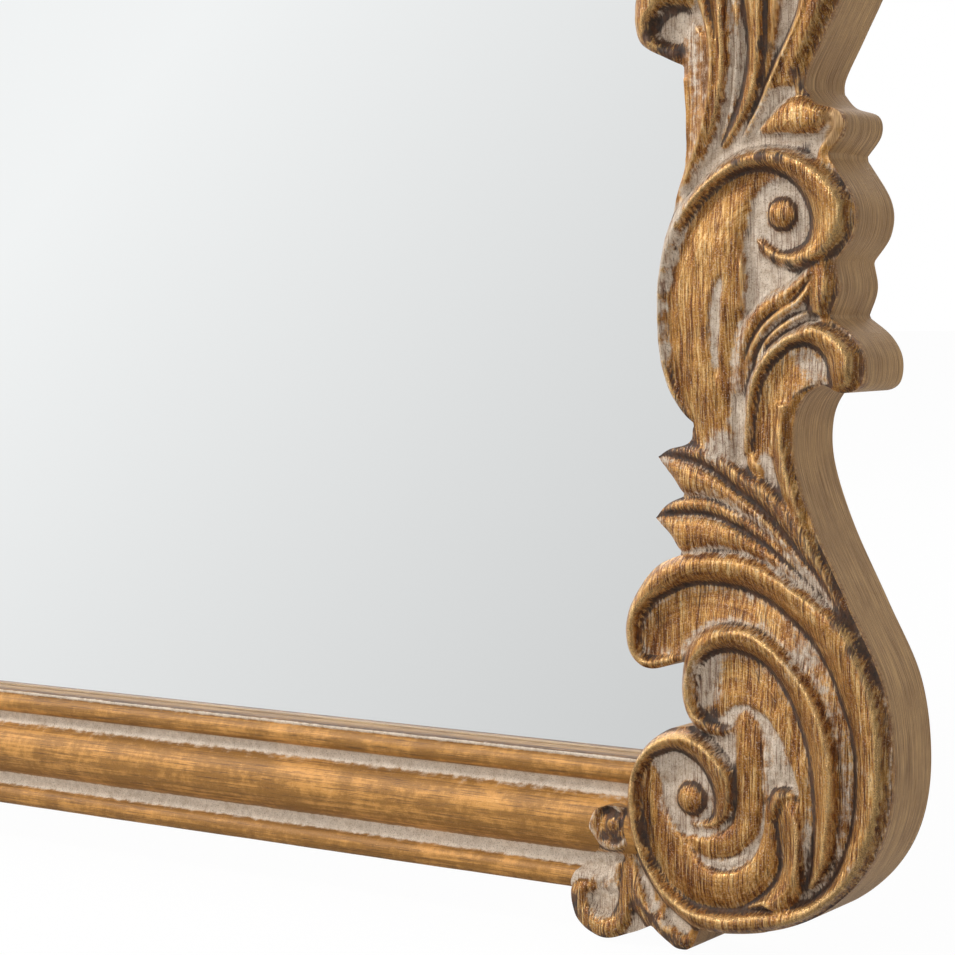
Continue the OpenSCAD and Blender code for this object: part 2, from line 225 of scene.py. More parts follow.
def gilding(colours, sizes):
    """Water gilding over brown bole, rubbed and tooled, with dark glaze in cuts and pale wax in hollows, and
    painted highlights and painted shade where the marks carry them.
    """
    g = finish_of("gilding")
    grain, place = g.attribute("grain", "Vector"), g.attribute("place", "Vector")
    wax, glaze, tooling, flank, worn = (g.attribute(name) for name in MARKS)
    streaks = g.noise(grain, (0.015, 0.7, 1), 4, 0.65)
    fibres = g.noise(place, (0.9, 0.05, 0.3), 4, 0.7)
    hairs = g.noise(grain, (0.06, 2.6, 1), 3, 0.65)
    clouds = g.noise(place, (0.05, 0.05, 0.05), 3, 0.6)
    mottle = g.noise(place, (0.3, 0.3, 0.3), 4, 0.7)
    grit = g.noise(place, (1.6, 1.6, 1.6), 3, 0.75)
    threads = g.noise(place, (2.2, 0.07, 0.4), 2, 0.6)
    carved = tooling.between(0.02, 0.3)

    turn = 2 * np.pi * MM / sizes.tool_pitch
    waver = g.noise(place, (0.2, 0.13, 0.2), 2) * 13
    swing = g.axis(place, "X") * (0.94 * turn) + g.axis(place, "Y") * (0.34 * turn) + waver
    tick = (swing.sine() * 0.5 + 0.5) ** 2
    hatch = tick * tooling * mottle.between(0.4, 0.58)

    rub = (
        (streaks - 0.5) * (1 + carved * 0.3) + (fibres - 0.5) * carved * 2.6 + (clouds - 0.5) * 0.9
        + (mottle - 0.5) * 0.6 + carved * 0.09 + 0.47
    )
    deep = g.mix(carved, colours.ochre, colours.deep)
    gold = g.mix(rub.between(0.05, 0.42), g.mix(carved, colours.ochre, colours.bole), deep)
    gold = g.mix(rub.between(0.36, 0.7), gold, colours.bright)
    gold = g.mix(rub.between(0.72, 1.05), gold, colours.highlight)
    gold = g.mix(grit.between(0.54, 0.64) * (carved * 0.5 + 0.2), gold, colours.umber)
    gold = g.mix((1 - grit.between(0.36, 0.44)) * (carved * 0.5 + 0.08), gold, colours.wax)
    gold = g.mix((1 - threads.between(0.3, 0.47)) * carved * (1.4 - clouds), gold, colours.umber)
    gold = g.mix(threads.between(0.56, 0.72) * carved * 0.9, gold, colours.highlight)
    gold = g.mix((1 - hairs.between(0.36, 0.46)) * (1 - carved) * 0.7, gold, colours.umber)
    gold = g.mix(hatch * 0.4, gold, colours.umber)
    # The crests get rubbed gold and a painted highlight
    crest = (worn + (fibres - 0.5) * 1.2 + (grit - 0.5) * 0.8).between(0.35, 1.1)
    gold = g.mix(crest * 0.6, gold, colours.highlight)

    # Pale wax in the hollows, with the painted highlights along lit rims that the wax mark also carries
    waxed = (
        wax * 1.2 + (fibres - 0.5) * carved * 1.2 + (mottle - 0.5) * 1.3 + (grit - 0.5) * 0.8
        + (hairs - 0.5) * 0.5
    ).between(0.42, 0.86)
    clean = (mottle - 0.5) * 2.4 + (fibres - 0.5) * carved * 1.8 + 0.8 - carved * 0.3
    pale = g.mix(clean, colours.dust, colours.wax)
    pale = g.mix(grit.between(0.53, 0.64) * 0.6, pale, colours.umber)
    pale = g.mix((1 - threads.between(0.36, 0.47)) * carved * 0.7, pale, colours.bole)
    coat = g.mix(waxed * 0.92, gold, pale)

    # Dark glaze, together with the painted shade and shadows that the glaze mark also carries
    dark = (
        glaze * 1.2 - waxed * 0.3 + (threads - 0.5) * -1.0 + (fibres - 0.5) * 0.9 + (mottle - 0.5) * 0.6
        + (tick - 0.4) * tooling * glaze.between(0.05, 0.4) * 0.3
    ).between(0.36, 0.85)
    coat = g.mix(dark * 0.95, coat, g.mix(mottle.between(0.4, 0.6), colours.glaze, colours.umber))

    lines = g.noise(grain, (0.03, 2.2, 1), 4, 0.8)
    side = g.mix(lines.between(0.38, 0.6), colours.flank_line, colours.flank)
    side = g.mix(clouds.between(0.4, 0.7) * 0.35, side, colours.flank_line)
    sided = (flank * 1.3 + (fibres - 0.5) * 0.6 + (hairs - 0.5) * 0.5).between(0.15, 0.85)
    skin = g.mix(sided, coat, side)

    plain = (1 - waxed * 0.9) * (1 - dark) * (1 - flank * 0.8)
    relief = (
        streaks * (carved * 0.15 + 0.05) + fibres * carved * 0.8 + threads * carved * 0.45 + hairs * 0.06
        + grit * (carved * 0.22 + 0.05) + mottle * carved * 0.3 - hatch * 0.3
    )
    return g.surface({
        "Base Color": skin,
        "Metallic": plain * (carved * 0.4 + 0.25),
        "Roughness": 0.62 - plain * (carved * 0.22 + 0.04) - worn * 0.1 + (grit - 0.5) * 0.25,
        "Normal": g.bump(relief, 0.0007),
    })


def silvering():
    """Clear float glass, silvered on its back."""
    g = finish_of("silvered_plate")
    return g.surface({"Base Color": (0.92, 0.938, 0.94, 1), "Metallic": 1, "Roughness": 0.012})


def grained(name, stretch, detail, harshness, dark, light, roughness, depth):
    """A dull finish whose one noise gives both its colour and its fine relief."""
    g = finish_of(name)
    grain = g.noise(g.add("TexCoord", output="Object"), stretch, detail, harshness)
    return g.surface({
        "Base Color": g.mix(grain, srgb(*dark), srgb(*light)), "Roughness": roughness,
        "Normal": g.bump(grain, depth),
    })


def beech():
    return grained("beech", (900, 300, 25), 4, 0.6, (196, 160, 116), (222, 190, 148), 0.62, 0.0002)


def packing_foam():
    return grained("packing_foam", (700, 700, 700), 3, 0.7, (214, 214, 212), (238, 238, 236), 0.85, 0.0004)


def grey_rubber():
    return grained("grey_rubber", (300, 300, 300), 4, 0.7, (48, 48, 50), (82, 82, 84), 0.78, 0.0002)


def hardboard():
    """Pressed brown board, with fibres over larger cloudy patches."""
    g = finish_of("hardboard")
    place = g.add("TexCoord", output="Object")
    fibres, mottle = g.noise(place, (900, 900, 260), 4, 0.7), g.noise(place, (9, 9, 9), 3)
    shade = (fibres - 0.5) * 0.9 + (mottle - 0.5) * 0.6 + 0.5
    return g.surface({
        "Base Color": g.mix(shade, srgb(92, 62, 40), srgb(128, 90, 60)), "Roughness": fibres * 0.25 + 0.55,
        "Normal": g.bump(fibres, 0.0003),
    })


def plated_steel():
    """Zinc plate, brushed along z and a little dulled in patches."""
    g = finish_of("plated_steel")
    place = g.add("TexCoord", output="Object")
    brushed, bloom = g.noise(place, (2500, 2500, 90), 2), g.noise(place, (60, 60, 60), 3)
    return g.surface({
        "Base Color": g.mix(bloom, srgb(176, 178, 178), srgb(212, 213, 210)), "Metallic": 0.9,
        "Roughness": bloom * 0.2 + brushed * 0.12 + 0.2, "Normal": g.bump(brushed, 0.00006),
    })


# Finishes of the pieces behind the plate, by the material slot that each takes.
BACK_FINISHES = {
    "beech": beech, "hardboard": hardboard, "packing_foam": packing_foam, "plated_steel": plated_steel,
    "grey_rubber": grey_rubber,
}


@dataclass
class Band:
    """A carved strip between two edges. A row holds one edge's x and z, then the other's, in millimetres from
    the frame's outer edge and its bottom. Heights are counted from the carved edge: the first edge's, the
    crest's and the second edge's, by row number. Glaze and tooling hold the reach of each from the first
    edge, what the whole strip has, and the reach from the second edge. Wax holds the amounts at the first
    edge, in the middle and at the second edge."""

    rows: list
    heights: dict
    glaze: tuple = (0, 0, 0)
    wax: tuple = (0, 0, 0)
    tooling: tuple = (0, 0, 0)
    fullness: float = 2.4


def ridge(points, top, foot=-5.4, **finish):
    """A raised strip along a centre line. A point holds x, z and the strip's width."""
    line = np.array(points, float)
    along = np.gradient(line[:, :2], axis=0)
    along /= np.linalg.norm(along, axis=1)[:, None]
    side = np.stack([-along[:, 1], along[:, 0]], 1) * line[:, 2:] / 2
    rows = np.hstack([line[:, :2] + side, line[:, :2] - side])
    tops = top if isinstance(top, dict) else {0: top}
    return Band(rows, {i: (foot, height, foot) for i, height in tops.items()}, **finish)


def beside(band, edge, heights, **finish):
    """A strip from another one's second edge to an edge of its own, which may end before the other's."""
    rows = [(*shared[2:], *place) for shared, place in zip(band.rows, edge)]
    return Band(rows, heights, **finish)


# Outlines of the carving, in runs that meet at its sharp corners: x from the frame's outer edge (inward is
# negative) and z from its bottom, in millimetres.
OUTLINE = [
    [[-99, 8], [-92.5, 3], [-87, 0], [-82, 2], [-79, 9]],
    [
        [-79, 9], [-66, 9.5], [-50, 12], [-30, 20], [-13, 35], [-3, 54], [0, 78], [-4, 106],
        [-17, 133], [-31, 161], [-39, 184], [-39.5, 200], [-35, 210], [-28, 214],
    ],
    [[-28, 214], [-19, 211], [-12.5, 214], [-11.5, 223], [-16, 231], [-25, 238]],
    [[-25, 238], [-21.5, 248], [-23, 258]],
    [[-23, 258], [-16, 268], [-16, 280], [-26, 296]],
    [[-26, 296], [-20, 304], [-21, 311], [-30, 314.5], [-35, 320]],
    [[-35, 320], [-34, 326], [-26, 341], [-15, 363], [-4, 396]],
    [[-4, 396], [-14, 394]],
    [[-14, 394], [-14, 410], [-22, 412]],
    [[-22, 412], [-28, 425]],
    [[-28, 425], [-82, 425]],
    [[-82, 425], [-82, 378]],
    [[-82, 378], [-92, 368], [-101, 361], [-103, 350], [-100, 340], [-91, 334.5], [-84, 331]],
    [[-84, 331], [-82.5, 312], [-83, 296], [-88, 279], [-93, 256], [-93.5, 230], [-89, 210], [-80, 199]],
    [[-80, 199], [-82.5, 192], [-90, 189.5], [-95.5, 186.5]],
    [[-95.5, 186.5], [-88, 179], [-83, 172.5]],
    [[-83, 172.5], [-91, 169], [-96.5, 163.5]],
    [[-96.5, 163.5], [-89, 157], [-84.5, 150.5]],
    [[-84.5, 150.5], [-97, 144], [-107, 128], [-108, 115], [-99, 106.5], [-84, 111]],
    [[-84, 111], [-84.5, 98], [-80, 86]],
    [[-80, 86], [-92, 83.5], [-102, 74], [-108, 58], [-108, 44], [-103, 33], [-95, 21], [-99, 8]],
]

FOOT_OUTLINE = [
    [[-104, 48], [-112, 53], [-121, 51], [-124.5, 44], [-121, 37], [-128, 31], [-135, 24]],
    [[-135, 24], [-137, 17], [-133, 6], [-122, 0], [-110, 3], [-99, 8]],
    [[-99, 8], [-90, 20], [-98, 36], [-104, 48]],
]

# The outer scroll, from the big lobe's tip, down the outside, round the foot and in to the volute's eye.
SCROLL = Band(
    [
        (-84, 110.5, -82, 114), (-92, 107.5, -91, 112.5), (-99.5, 106, -98.5, 111.5),
        (-105, 109.5, -102.5, 114), (-108, 115.5, -103, 118), (-108.5, 122, -102.5, 124),
        (-107, 129, -99.5, 129), (-103, 137, -95, 132.7), (-97, 144, -89, 136), (-90, 148.5, -82, 139.2),
        (-83, 151, -75, 140.5), (-72, 152.5, -66, 140.5), (-58, 152.3, -56, 139), (-46, 148, -47, 135.7),
        (-36, 142.5, -38.5, 130), (-26, 136.5, -31, 123.5), (-17, 131, -25, 115.7),
        (-10.5, 120, -20.3, 107.5), (-4, 107, -17, 99), (-1, 93, -13.8, 90), (0, 80, -12.3, 80),
        (-0.5, 68, -12.2, 70), (-3, 55, -13, 59), (-7.5, 44, -15.8, 48), (-13, 35, -19.5, 39),
        (-21, 27, -23.5, 32.5), (-31, 19.5, -29.5, 27.3), (-41, 14.5, -37, 24.3), (-50, 12, -45, 22),
        (-60, 10, -55, 20), (-68, 9, -64, 18.3), (-76, 9.8, -72, 18), (-81, 12, -80, 19),
        (-87, 15.5, -86, 21.5), (-93, 20.5, -92, 25.5), (-98.5, 27.5, -96.5, 30), (-103.3, 36, -99.7, 35),
        (-106, 44, -101.8, 42), (-107.8, 53, -103.2, 50), (-107.8, 62, -104, 58), (-105.5, 69.5, -103.5, 65),
        (-101, 76, -99.5, 71), (-96, 80.7, -94.5, 74.6), (-90, 83.7, -89, 76.6), (-83, 85, -83.5, 76.6),
        (-76, 83, -78, 74), (-70, 79.5, -74, 70.3), (-65, 74.5, -71.2, 66), (-61.5, 68, -69.8, 61),
        (-61.5, 61, -69.8, 56), (-63.5, 54.5, -71.2, 52.2), (-69, 49.3, -75, 50.7), (-78, 48.5, -80, 50.9),
    ],
    {
        0: (-4, -3.4, -5), 2: (-4, -1, -5.5), 4: (-4, 1.2, -6), 8: (-4, 2.2, -6), 15: (-4, 2.5, -6),
        24: (-4, 2.3, -6), 27: (-4, 1.8, -5.5), 30: (-4, 1.6, -4.6), 35: (-4, 1.8, -6), 40: (-4, 2, -6),
        44: (-4.5, 2, -6), 47: (-5.5, 0.6, -6), 50: (-6, -2, -6), 52: (-6, -4.6, -6),
    },
    # Wax at the first, outer edge: a pale line along the rim, partly wax and partly painted highlight
    glaze=(0.4, 0, 1.4), tooling=(0, 0.1, 5), wax=(0.35, 0, 0),
)

# Steep side of the leaflet beside the volute. Its glaze is partly a painted shadow along this side.
LEAFLET = Band(
    [
        (-46.8, 60.5, -43.5, 63.5), (-45.5, 55.5, -40.3, 59.5), (-44.3, 50, -38.6, 54.5),
        (-43, 44, -37.4, 49.5), (-42.2, 38, -37, 44.5), (-43.8, 32.8, -37.8, 39), (-47.3, 28, -40.3, 33),
        (-52.5, 23.7, -44.5, 27.5), (-58, 20.5, -51, 22.5),
    ],
    {0: (-6, -4.6, -2.6), 2: (-6, -3.4, -0.6), 5: (-6, -3, 0.2), 8: (-4.6, -2, 0)},
    # Glaze along the first edge and over the strip: partly painted shadow
    glaze=(1.4, 0.35, 0), tooling=(3, 0.4, 2), fullness=2,
)

# The lower leaf above its groove.
LOW_LEAF = Band(
    [
        (-96.5, 163.5, -96.3, 163.4), (-91, 168.5, -90, 165.2), (-85, 171, -84, 166),
        (-78, 172, -77, 166.3), (-71.5, 171.8, -70.5, 165.5), (-65.5, 169.8, -64.5, 163.8),
        (-59, 167, -58.5, 161.3), (-53, 163.5, -52.5, 158.3), (-47, 159, -46.5, 154.5),
        (-41.5, 154.3, -41, 150.7), (-36.5, 150, -36, 146.5), (-31.5, 145.5, -31.5, 142.7),
        (-27.5, 141.5, -28, 139.5),
    ],
    {
        0: (-4, -3.9, -4), 2: (-4, -1.6, -4.4), 5: (-4.2, -1, -4.8),
        9: (-4.4, -1.8, -4.8), 12: (-4.4, -3.4, -4.6),
    },
    glaze=(0.32, 0.36, 1.2), tooling=(0, 0.3, 3),
)

# The upper leaf above its groove.
HIGH_LEAF = Band(
    [
        (-95, 186.6, -94.9, 186.5), (-90, 189.6, -90, 187.4), (-84, 191, -83.5, 186.9),
        (-77, 191.3, -77, 185.2), (-71, 190.5, -70.5, 182.3), (-65.5, 188, -65, 179),
        (-60.5, 184.7, -60, 175.5), (-55.5, 181.6, -55, 172.2), (-50, 179.5, -50, 169),
        (-45, 176, -45.5, 165), (-40, 171.5, -41, 160.5), (-35.5, 167, -36.5, 155.5),
        (-32, 161.5, -32, 150), (-28.5, 155, -27.5, 145), (-24.5, 147.5, -23.5, 139.5),
        (-20, 139, -20, 134), (-16.5, 131.5, -17, 130),
    ],
    {
        0: (-4, -3.9, -4), 2: (-4, -2, -4.4), 4: (-4.5, -1.2, -4.8), 8: (-4.8, -1, -5),
        12: (-4, -1.2, -5), 16: (-4, -3, -4.5),
    },
    glaze=(0.48, 0.5, 1.3), tooling=(1, 0.35, 3),
)

# The low hook's rim.
HOOK = Band(
    [
        (-57, 188, -54, 190), (-56.8, 197, -53.6, 198), (-56.3, 206, -52.7, 206),
        (-55, 214, -50.9, 213.5), (-52, 220.5, -48, 219.5), (-47.5, 226.5, -43.7, 224.3),
        (-42, 231, -38.8, 227.8), (-36, 234, -34, 229), (-29, 236.5, -29.8, 228.4), (-20, 233, -26, 226),
        (-13.8, 228, -23.7, 222.5), (-11.7, 221, -22.5, 217.5), (-13, 214.3, -21.8, 214.5),
        (-19, 211, -23, 212.5),
    ],
    {
        0: (-5, -3.6, -5.6), 2: (-5, -2, -6), 5: (-5, -0.4, -6), 7: (-4.6, 0.8, -6), 9: (-4, 2, -6),
        11: (-4, 1.8, -5.6), 13: (-4, -3, -4.4),
    },
    glaze=(0.32, 0, 0.96), tooling=(0, 0.1, 3), wax=(0.6, 0, 0),
)

CARVING = [
    SCROLL,
    # Hollow of the big lobe, which runs down beside the outer scroll.
    Band(
        [
            (-103, 117, -101, 112), (-103, 124, -92, 112.5), (-100, 130, -86, 113), (-95, 133.5, -81.5, 114),
            (-88, 137, -79, 118), (-80, 139.8, -75, 122), (-70, 140.8, -68, 124.9), (-60, 139.8, -60, 126),
            (-50, 137, -53, 124.8), (-42, 132.5, -46.5, 121), (-35, 127, -40, 116), (-29, 121, -34, 110.3),
            (-24, 114.3, -28.5, 103.5), (-20, 107.7, -24.3, 95.5), (-17, 99.5, -21.5, 87.5),
            (-13.8, 90, -19.9, 79), (-12.3, 80, -19.4, 70), (-12, 70, -20, 60), (-13, 59, -21.3, 51),
            (-15.5, 48.5, -22.5, 42.5), (-19.3, 39, -25.5, 35.8), (-24, 32.5, -28.8, 30.8),
        ],
        {
            0: (-5.6, -5.4, -5), 3: (-6, -5, -4.2), 7: (-6.1, -4.6, -2.8),
            14: (-6, -4.5, -2.8), 21: (-5.6, -5.2, -4.6),
        },
        glaze=(1.3, 0.04, 0), wax=(0.1, 0.1, 0.8), tooling=(5, 0.1, 0),
    ),
    # The small lobe's rim and its hollow.
    Band(
        [
            (-62, 84.5, -62, 88.3), (-68, 83.5, -67, 88.3), (-74, 84.5, -71.5, 89.2),
            (-79.5, 87.3, -75.5, 91.4), (-83, 91.5, -77.8, 95), (-84.3, 98, -78.8, 99.5),
            (-84, 105, -77.8, 105.5), (-82.3, 111.5, -75.5, 110.5), (-79.5, 117, -72.5, 113.5),
            (-75.5, 121.6, -68.5, 115.5), (-69.5, 124.6, -64, 116.3), (-62, 126, -58.5, 115.9),
            (-54, 125, -52.5, 114), (-47, 121.3, -47, 110.8), (-40, 116, -42, 105.7), (-34, 110.3, -38, 99.8),
            (-28.5, 103.5, -35, 93), (-24.3, 95.5, -32.3, 85.5), (-21.5, 87.5, -30.4, 77.5),
            (-19.9, 79, -29.2, 70), (-19.4, 70, -28.7, 61), (-20, 60, -28.7, 52), (-21.3, 51, -29.1, 44),
            (-22.5, 42.5, -29.8, 38.5), (-25.5, 35.8, -30.7, 34.5), (-29, 31, -31.5, 31.5),
        ],
        {
            0: (-6, -5, -6), 3: (-5.5, -1, -6), 6: (-4, 1, -6), 9: (-3, 2, -6), 12: (-2.8, 2.4, -6.2),
            20: (-2.8, 2.4, -6.2), 23: (-3.6, 1.2, -6), 25: (-5, -2.5, -5.5),
        },
        # Wax at the first, outer edge: a pale line along the rim, partly wax and partly painted highlight
        glaze=(0.32, 0, 1.4), tooling=(0, 0.1, 5), wax=(0.45, 0, 0),
    ),
    Band(
        [
            (-75, 91.5, -66, 91), (-78, 96, -65.5, 92.5), (-78.7, 101.5, -64, 94.5), (-77, 108, -62, 95.8),
            (-73.5, 112.7, -59.5, 96.6), (-68, 115.6, -56.5, 96.7), (-61, 116.3, -53, 95.8),
            (-54.5, 114.8, -49.8, 94), (-48.5, 112, -46.8, 91.3), (-43, 107, -43.8, 87.7),
            (-38.8, 101, -41, 83.3), (-35.5, 94.3, -38.7, 78.3), (-32.8, 87, -36.7, 73),
            (-30.8, 79.3, -35, 67.5), (-29.5, 71.5, -33.8, 61.5), (-28.8, 62, -32.8, 54),
            (-28.7, 53, -32.5, 47), (-29.2, 44, -32.4, 41),
        ],
        {
            0: (-6.1, -6, -5.6), 4: (-6.1, -5.6, -4.4), 8: (-6.1, -5, -3.5),
            13: (-6, -4.6, -3.4), 17: (-5.8, -5.2, -4.6),
        },
        glaze=(1.3, 0.06, 0), wax=(0.1, 0.1, 0.2), tooling=(4.5, 0.1, 0),
    ),
    # The tongues between the small lobe and the volute.
    ridge(
        [(-57, 93, 4), (-55.5, 88, 9), (-55.2, 78, 10.5), (-55.2, 66, 10.8), (-55.4, 56, 10.8), (-58, 49, 10),
         (-64, 43.6, 9), (-71, 41.8, 7.5), (-77, 42.3, 5.5), (-81, 44, 3)],
        {0: -5.2, 1: -4.2, 2: -3.7, 4: -3.4, 6: -3.2, 9: -4.4}, foot=-5.2,
        tooling=(0, 0.2, 0), glaze=(0.5, 0, 0.3), fullness=5,
    ),
    ridge([(-48, 88, 2), (-47.8, 76, 3.4), (-47.5, 63, 2.4)], {0: -5.4, 1: -3.9, 2: -5}, wax=(0.6, 0.4, 0.6)),
    ridge(
        [(-44.4, 88, 2), (-44.2, 79, 3.2), (-44, 70, 2.4)],
        {0: -5.4, 1: -3.7, 2: -5}, wax=(0.6, 0.25, 0.6),
    ),
    ridge(
        [(-40.8, 87, 2), (-40.2, 79, 3.4), (-39.6, 70, 2.4)], {0: -5.4, 1: -3.8, 2: -5}, wax=(0.5, 0.3, 0.7),
        tooling=(0, 0.4, 0),
    ),
    # The volute's bowl.
    Band(
        [
            (-99.5, 71, -95, 72), (-103.3, 65.5, -93.7, 66.5), (-104.2, 59, -92.6, 61), (-103.7, 52, -91, 55),
            (-102.4, 46, -88.3, 50.7), (-101, 40, -85.3, 46.5), (-99, 34.5, -82.3, 42.8),
            (-95.5, 29, -79.8, 39.5), (-90.5, 24.5, -77.3, 36.5), (-84.5, 20.9, -74, 34),
            (-78, 18.7, -70, 33), (-71, 18, -65.5, 33), (-64, 18.3, -61, 34), (-58, 20.3, -57.5, 36),
            (-52.5, 23.5, -54.3, 39), (-47.5, 27.8, -51.9, 42.5), (-44, 32.5, -50.3, 46.5),
            (-42.2, 37.5, -49.3, 50.5), (-43, 43.5, -48.8, 54.5), (-44.3, 50, -48.4, 58),
            (-45.6, 55.5, -48, 60.5), (-46.8, 60.5, -47.8, 63),
        ],
        {
            0: (-6, -5.4, -5.6), 2: (-6.1, -4.2, -5), 5: (-6.1, -3, -3.6), 9: (-6.1, -2.2, -2.6),
            14: (-6.1, -1.8, -2.6), 18: (-6.1, -2.6, -3.6), 21: (-6, -4.6, -5),
        },
        glaze=(1.3, 0, 0.48), tooling=(4, 0.1, 0), fullness=2.2,
    ),
    ridge(
        [(-79, 38.8, 2.4), (-71, 36.8, 2.8), (-63, 36.6, 2.8), (-56, 39.8, 2.4)],
        -4.2, wax=(0.8, 0.8, 0.8),
    ),
    # The leaflet beside the volute: its steep side, its face and its hooked top.
    LEAFLET,
    beside(
        LEAFLET,
        [
            (-35.5, 65), (-33.9, 59.5), (-33, 54), (-32.6, 48), (-32.7, 43), (-32.9, 37.5), (-33.3, 31),
            (-36, 25), (-42, 20),
        ],
        {0: (-2.6, -3, -4.6), 2: (-0.6, -0.4, -4.6), 5: (0.2, 0.6, -4.2), 8: (0, 1, -1.5)},
        glaze=(0, 0.06, 0.64), tooling=(2, 0.3, 2),
    ),
    ridge(
        [(-45.6, 55, 3), (-45, 60, 5), (-42.6, 63.6, 6.4), (-39, 64, 5.4), (-36, 61.5, 3)],
        {0: -3, 1: -0.6, 2: -0.4, 4: -3.4}, glaze=(0.7, 0.32, 0.5), tooling=(0, 0.5, 0),
    ),
    # The lip leaf under the volute.
    ridge(
        [(-107, 34, 4), (-105.3, 26, 6), (-103, 18.5, 7), (-98.5, 12.5, 7.5),
         (-92, 8, 8), (-86.5, 4.5, 8), (-82, 4.5, 5)],
        {0: -4.5, 2: -2.2, 4: -1.6, 6: -3}, glaze=(0.4, 0.05, 0.96), tooling=(0, 0.3, 2),
    ),
    # The lower leaf: above its groove, then below it.
    LOW_LEAF,
    beside(
        LOW_LEAF,
        [
            (-96, 163), (-89, 157.5), (-84, 151.2), (-77, 151.9), (-70, 152.9), (-63.5, 153), (-57, 152),
            (-51, 150.2), (-45.5, 147.8), (-40.5, 145), (-36, 142.3), (-31.5, 139.7), (-27.5, 137.5),
        ],
        {
            0: (-4, -3.9, -4), 2: (-4.6, -0.6, -3.4), 5: (-5, -0.3, -3.6),
            9: (-5, -1.2, -3.8), 12: (-4.6, -3, -3.8),
        },
        glaze=(0.64, 0.1, 0.16), wax=(0.7, 0.1, 0.5), tooling=(2.5, 0.1, 3),
    ),
    # The upper leaf, in the same way.
    HIGH_LEAF,
    beside(
        HIGH_LEAF,
        [
            (-94.7, 186.2), (-88.5, 179.5), (-83, 172.3), (-77, 172.3), (-70, 171.7), (-64.5, 169.5),
            (-59, 167), (-54, 164.2), (-49.5, 161), (-45, 157.3), (-40.5, 153.5), (-36.5, 150), (-32, 146),
            (-27.5, 141.5), (-23.5, 136.5), (-20, 132.5),
        ],
        {
            0: (-4, -3.9, -4), 2: (-4.4, -0.6, -3.6), 4: (-4.8, -0.3, -3.8),
            9: (-5, -0.8, -4.2), 15: (-4.6, -3, -4),
        },
        glaze=(0.64, 0.08, 0.16), wax=(0.9, 0.2, 0.8), tooling=(2.5, 0.1, 2.5),
    ),
    # The neck: its gold edge, its waxed valley and the foot of the sweep.
    ridge(
        [(-41.5, 207, 4), (-42.3, 198, 5), (-42, 189, 5.5), (-40.2, 181, 6),
         (-37.5, 173.5, 6.5), (-34.5, 166, 5)],
        {0: -2.4, 2: -1.2, 4: -1, 5: -2}, glaze=(0.24, 0.02, 0.24), tooling=(0, 0.2, 0),
    ),
    ridge(
        [(-54.5, 189, 3), (-52.5, 184.5, 5), (-49.5, 180.5, 4)], {0: -4.5, 1: -2.8, 2: -4},
        glaze=(0.24, 0.06, 0.24),
    ),
    # The high scroll's rim.
    Band(
        [
            (-78.5, 193, -76.5, 194), (-80.5, 200, -79.5, 201), (-86.5, 208, -84.3, 209.3),
            (-90.5, 215, -87.5, 216), (-92.7, 222, -89.6, 224), (-94, 231, -90.8, 233),
            (-94.2, 241, -91.3, 241), (-93.8, 250, -90.8, 250), (-92, 261, -88.5, 258),
            (-89.5, 270, -84.5, 267.3), (-85, 277.5, -80.5, 273.8), (-79, 284, -75.5, 280),
            (-72.5, 289.5, -69.8, 285), (-65.5, 294.3, -63.5, 288.8), (-58, 298, -57, 291),
            (-50, 299.5, -50, 291.6), (-42, 299, -44.5, 290.6), (-34, 297, -38.5, 287.5),
            (-25.5, 292, -33.5, 282.7), (-16.5, 282.5, -30.3, 277), (-15, 273, -29.5, 271.3),
            (-18.5, 264.8, -30.7, 266.2), (-24, 259.3, -33.7, 263.3), (-30.5, 256.8, -38, 261.7),
            (-37, 255.7, -43, 262.3), (-43.5, 257.2, -47.7, 264.7), (-50, 261.5, -51, 268),
        ],
        {
            0: (-5, -4, -5), 2: (-4, -1, -4.6), 5: (-4, 0, -4.8), 8: (-4, 1, -5.2), 11: (-4, 1.6, -5.6),
            15: (-4, 2.4, -6), 19: (-4, 2.5, -6), 22: (-4, 1.6, -6), 24: (-5, 0, -6), 26: (-6, -4, -6),
        },
        # Wax at the first, left edge: a pale line along the rim, partly wax and partly painted highlight
        glaze=(0.32, 0, 1.7), tooling=(0, 0.12, 4), wax=(0.6, 0, 0),
    ),
    # The belly of the high scroll.
    Band(
        [
            (-76.5, 186, -61.5, 186), (-77.5, 194, -61.3, 194), (-80.5, 202, -61.2, 202),
            (-84.5, 209.5, -61.5, 210), (-87.7, 216, -61.5, 218), (-89.8, 224, -60.5, 226),
            (-91, 233, -58.5, 234), (-91.4, 242, -56.3, 241), (-91, 250, -55.5, 248),
            (-88.7, 258, -55.7, 255), (-84.7, 267.3, -57, 262), (-80.7, 273.8, -56.5, 267),
            (-75.7, 280, -54.8, 272), (-70, 285, -54, 276.5), (-63.7, 288.8, -52.5, 281),
            (-57, 291, -49.5, 284.7), (-50, 291.5, -45.5, 286.5), (-44, 290, -41.5, 287),
        ],
        {
            0: (-4.6, -3.6, -4.6), 3: (-4.8, -1.6, -4.6), 7: (-5.2, -0.5, -4.2), 10: (-5.6, -0.6, -4.2),
            13: (-6, -2.4, -4.8), 15: (-6, -4.4, -5.4), 17: (-6, -5.5, -5.8),
        },
        glaze=(1.2, 0, 0.16), tooling=(4, 0.08, 0), wax=(0, 0, 0.35),
    ),
    ridge([(-58, 264, 2), (-57.8, 256, 3), (-57.9, 249, 3.5), (-58, 241, 3)], {0: -3.6, 1: -1.6, 3: -2.4}),
    # The sweeping leaf below it, and the thin ridge beside that.
    Band(
        [
            (-61, 210, -58, 210), (-61.3, 214, -57, 216), (-60.7, 225, -55.5, 226), (-59, 232, -52.7, 232),
            (-56, 238, -48.3, 237), (-51, 243, -43.5, 240.3), (-46, 246.4, -39, 242),
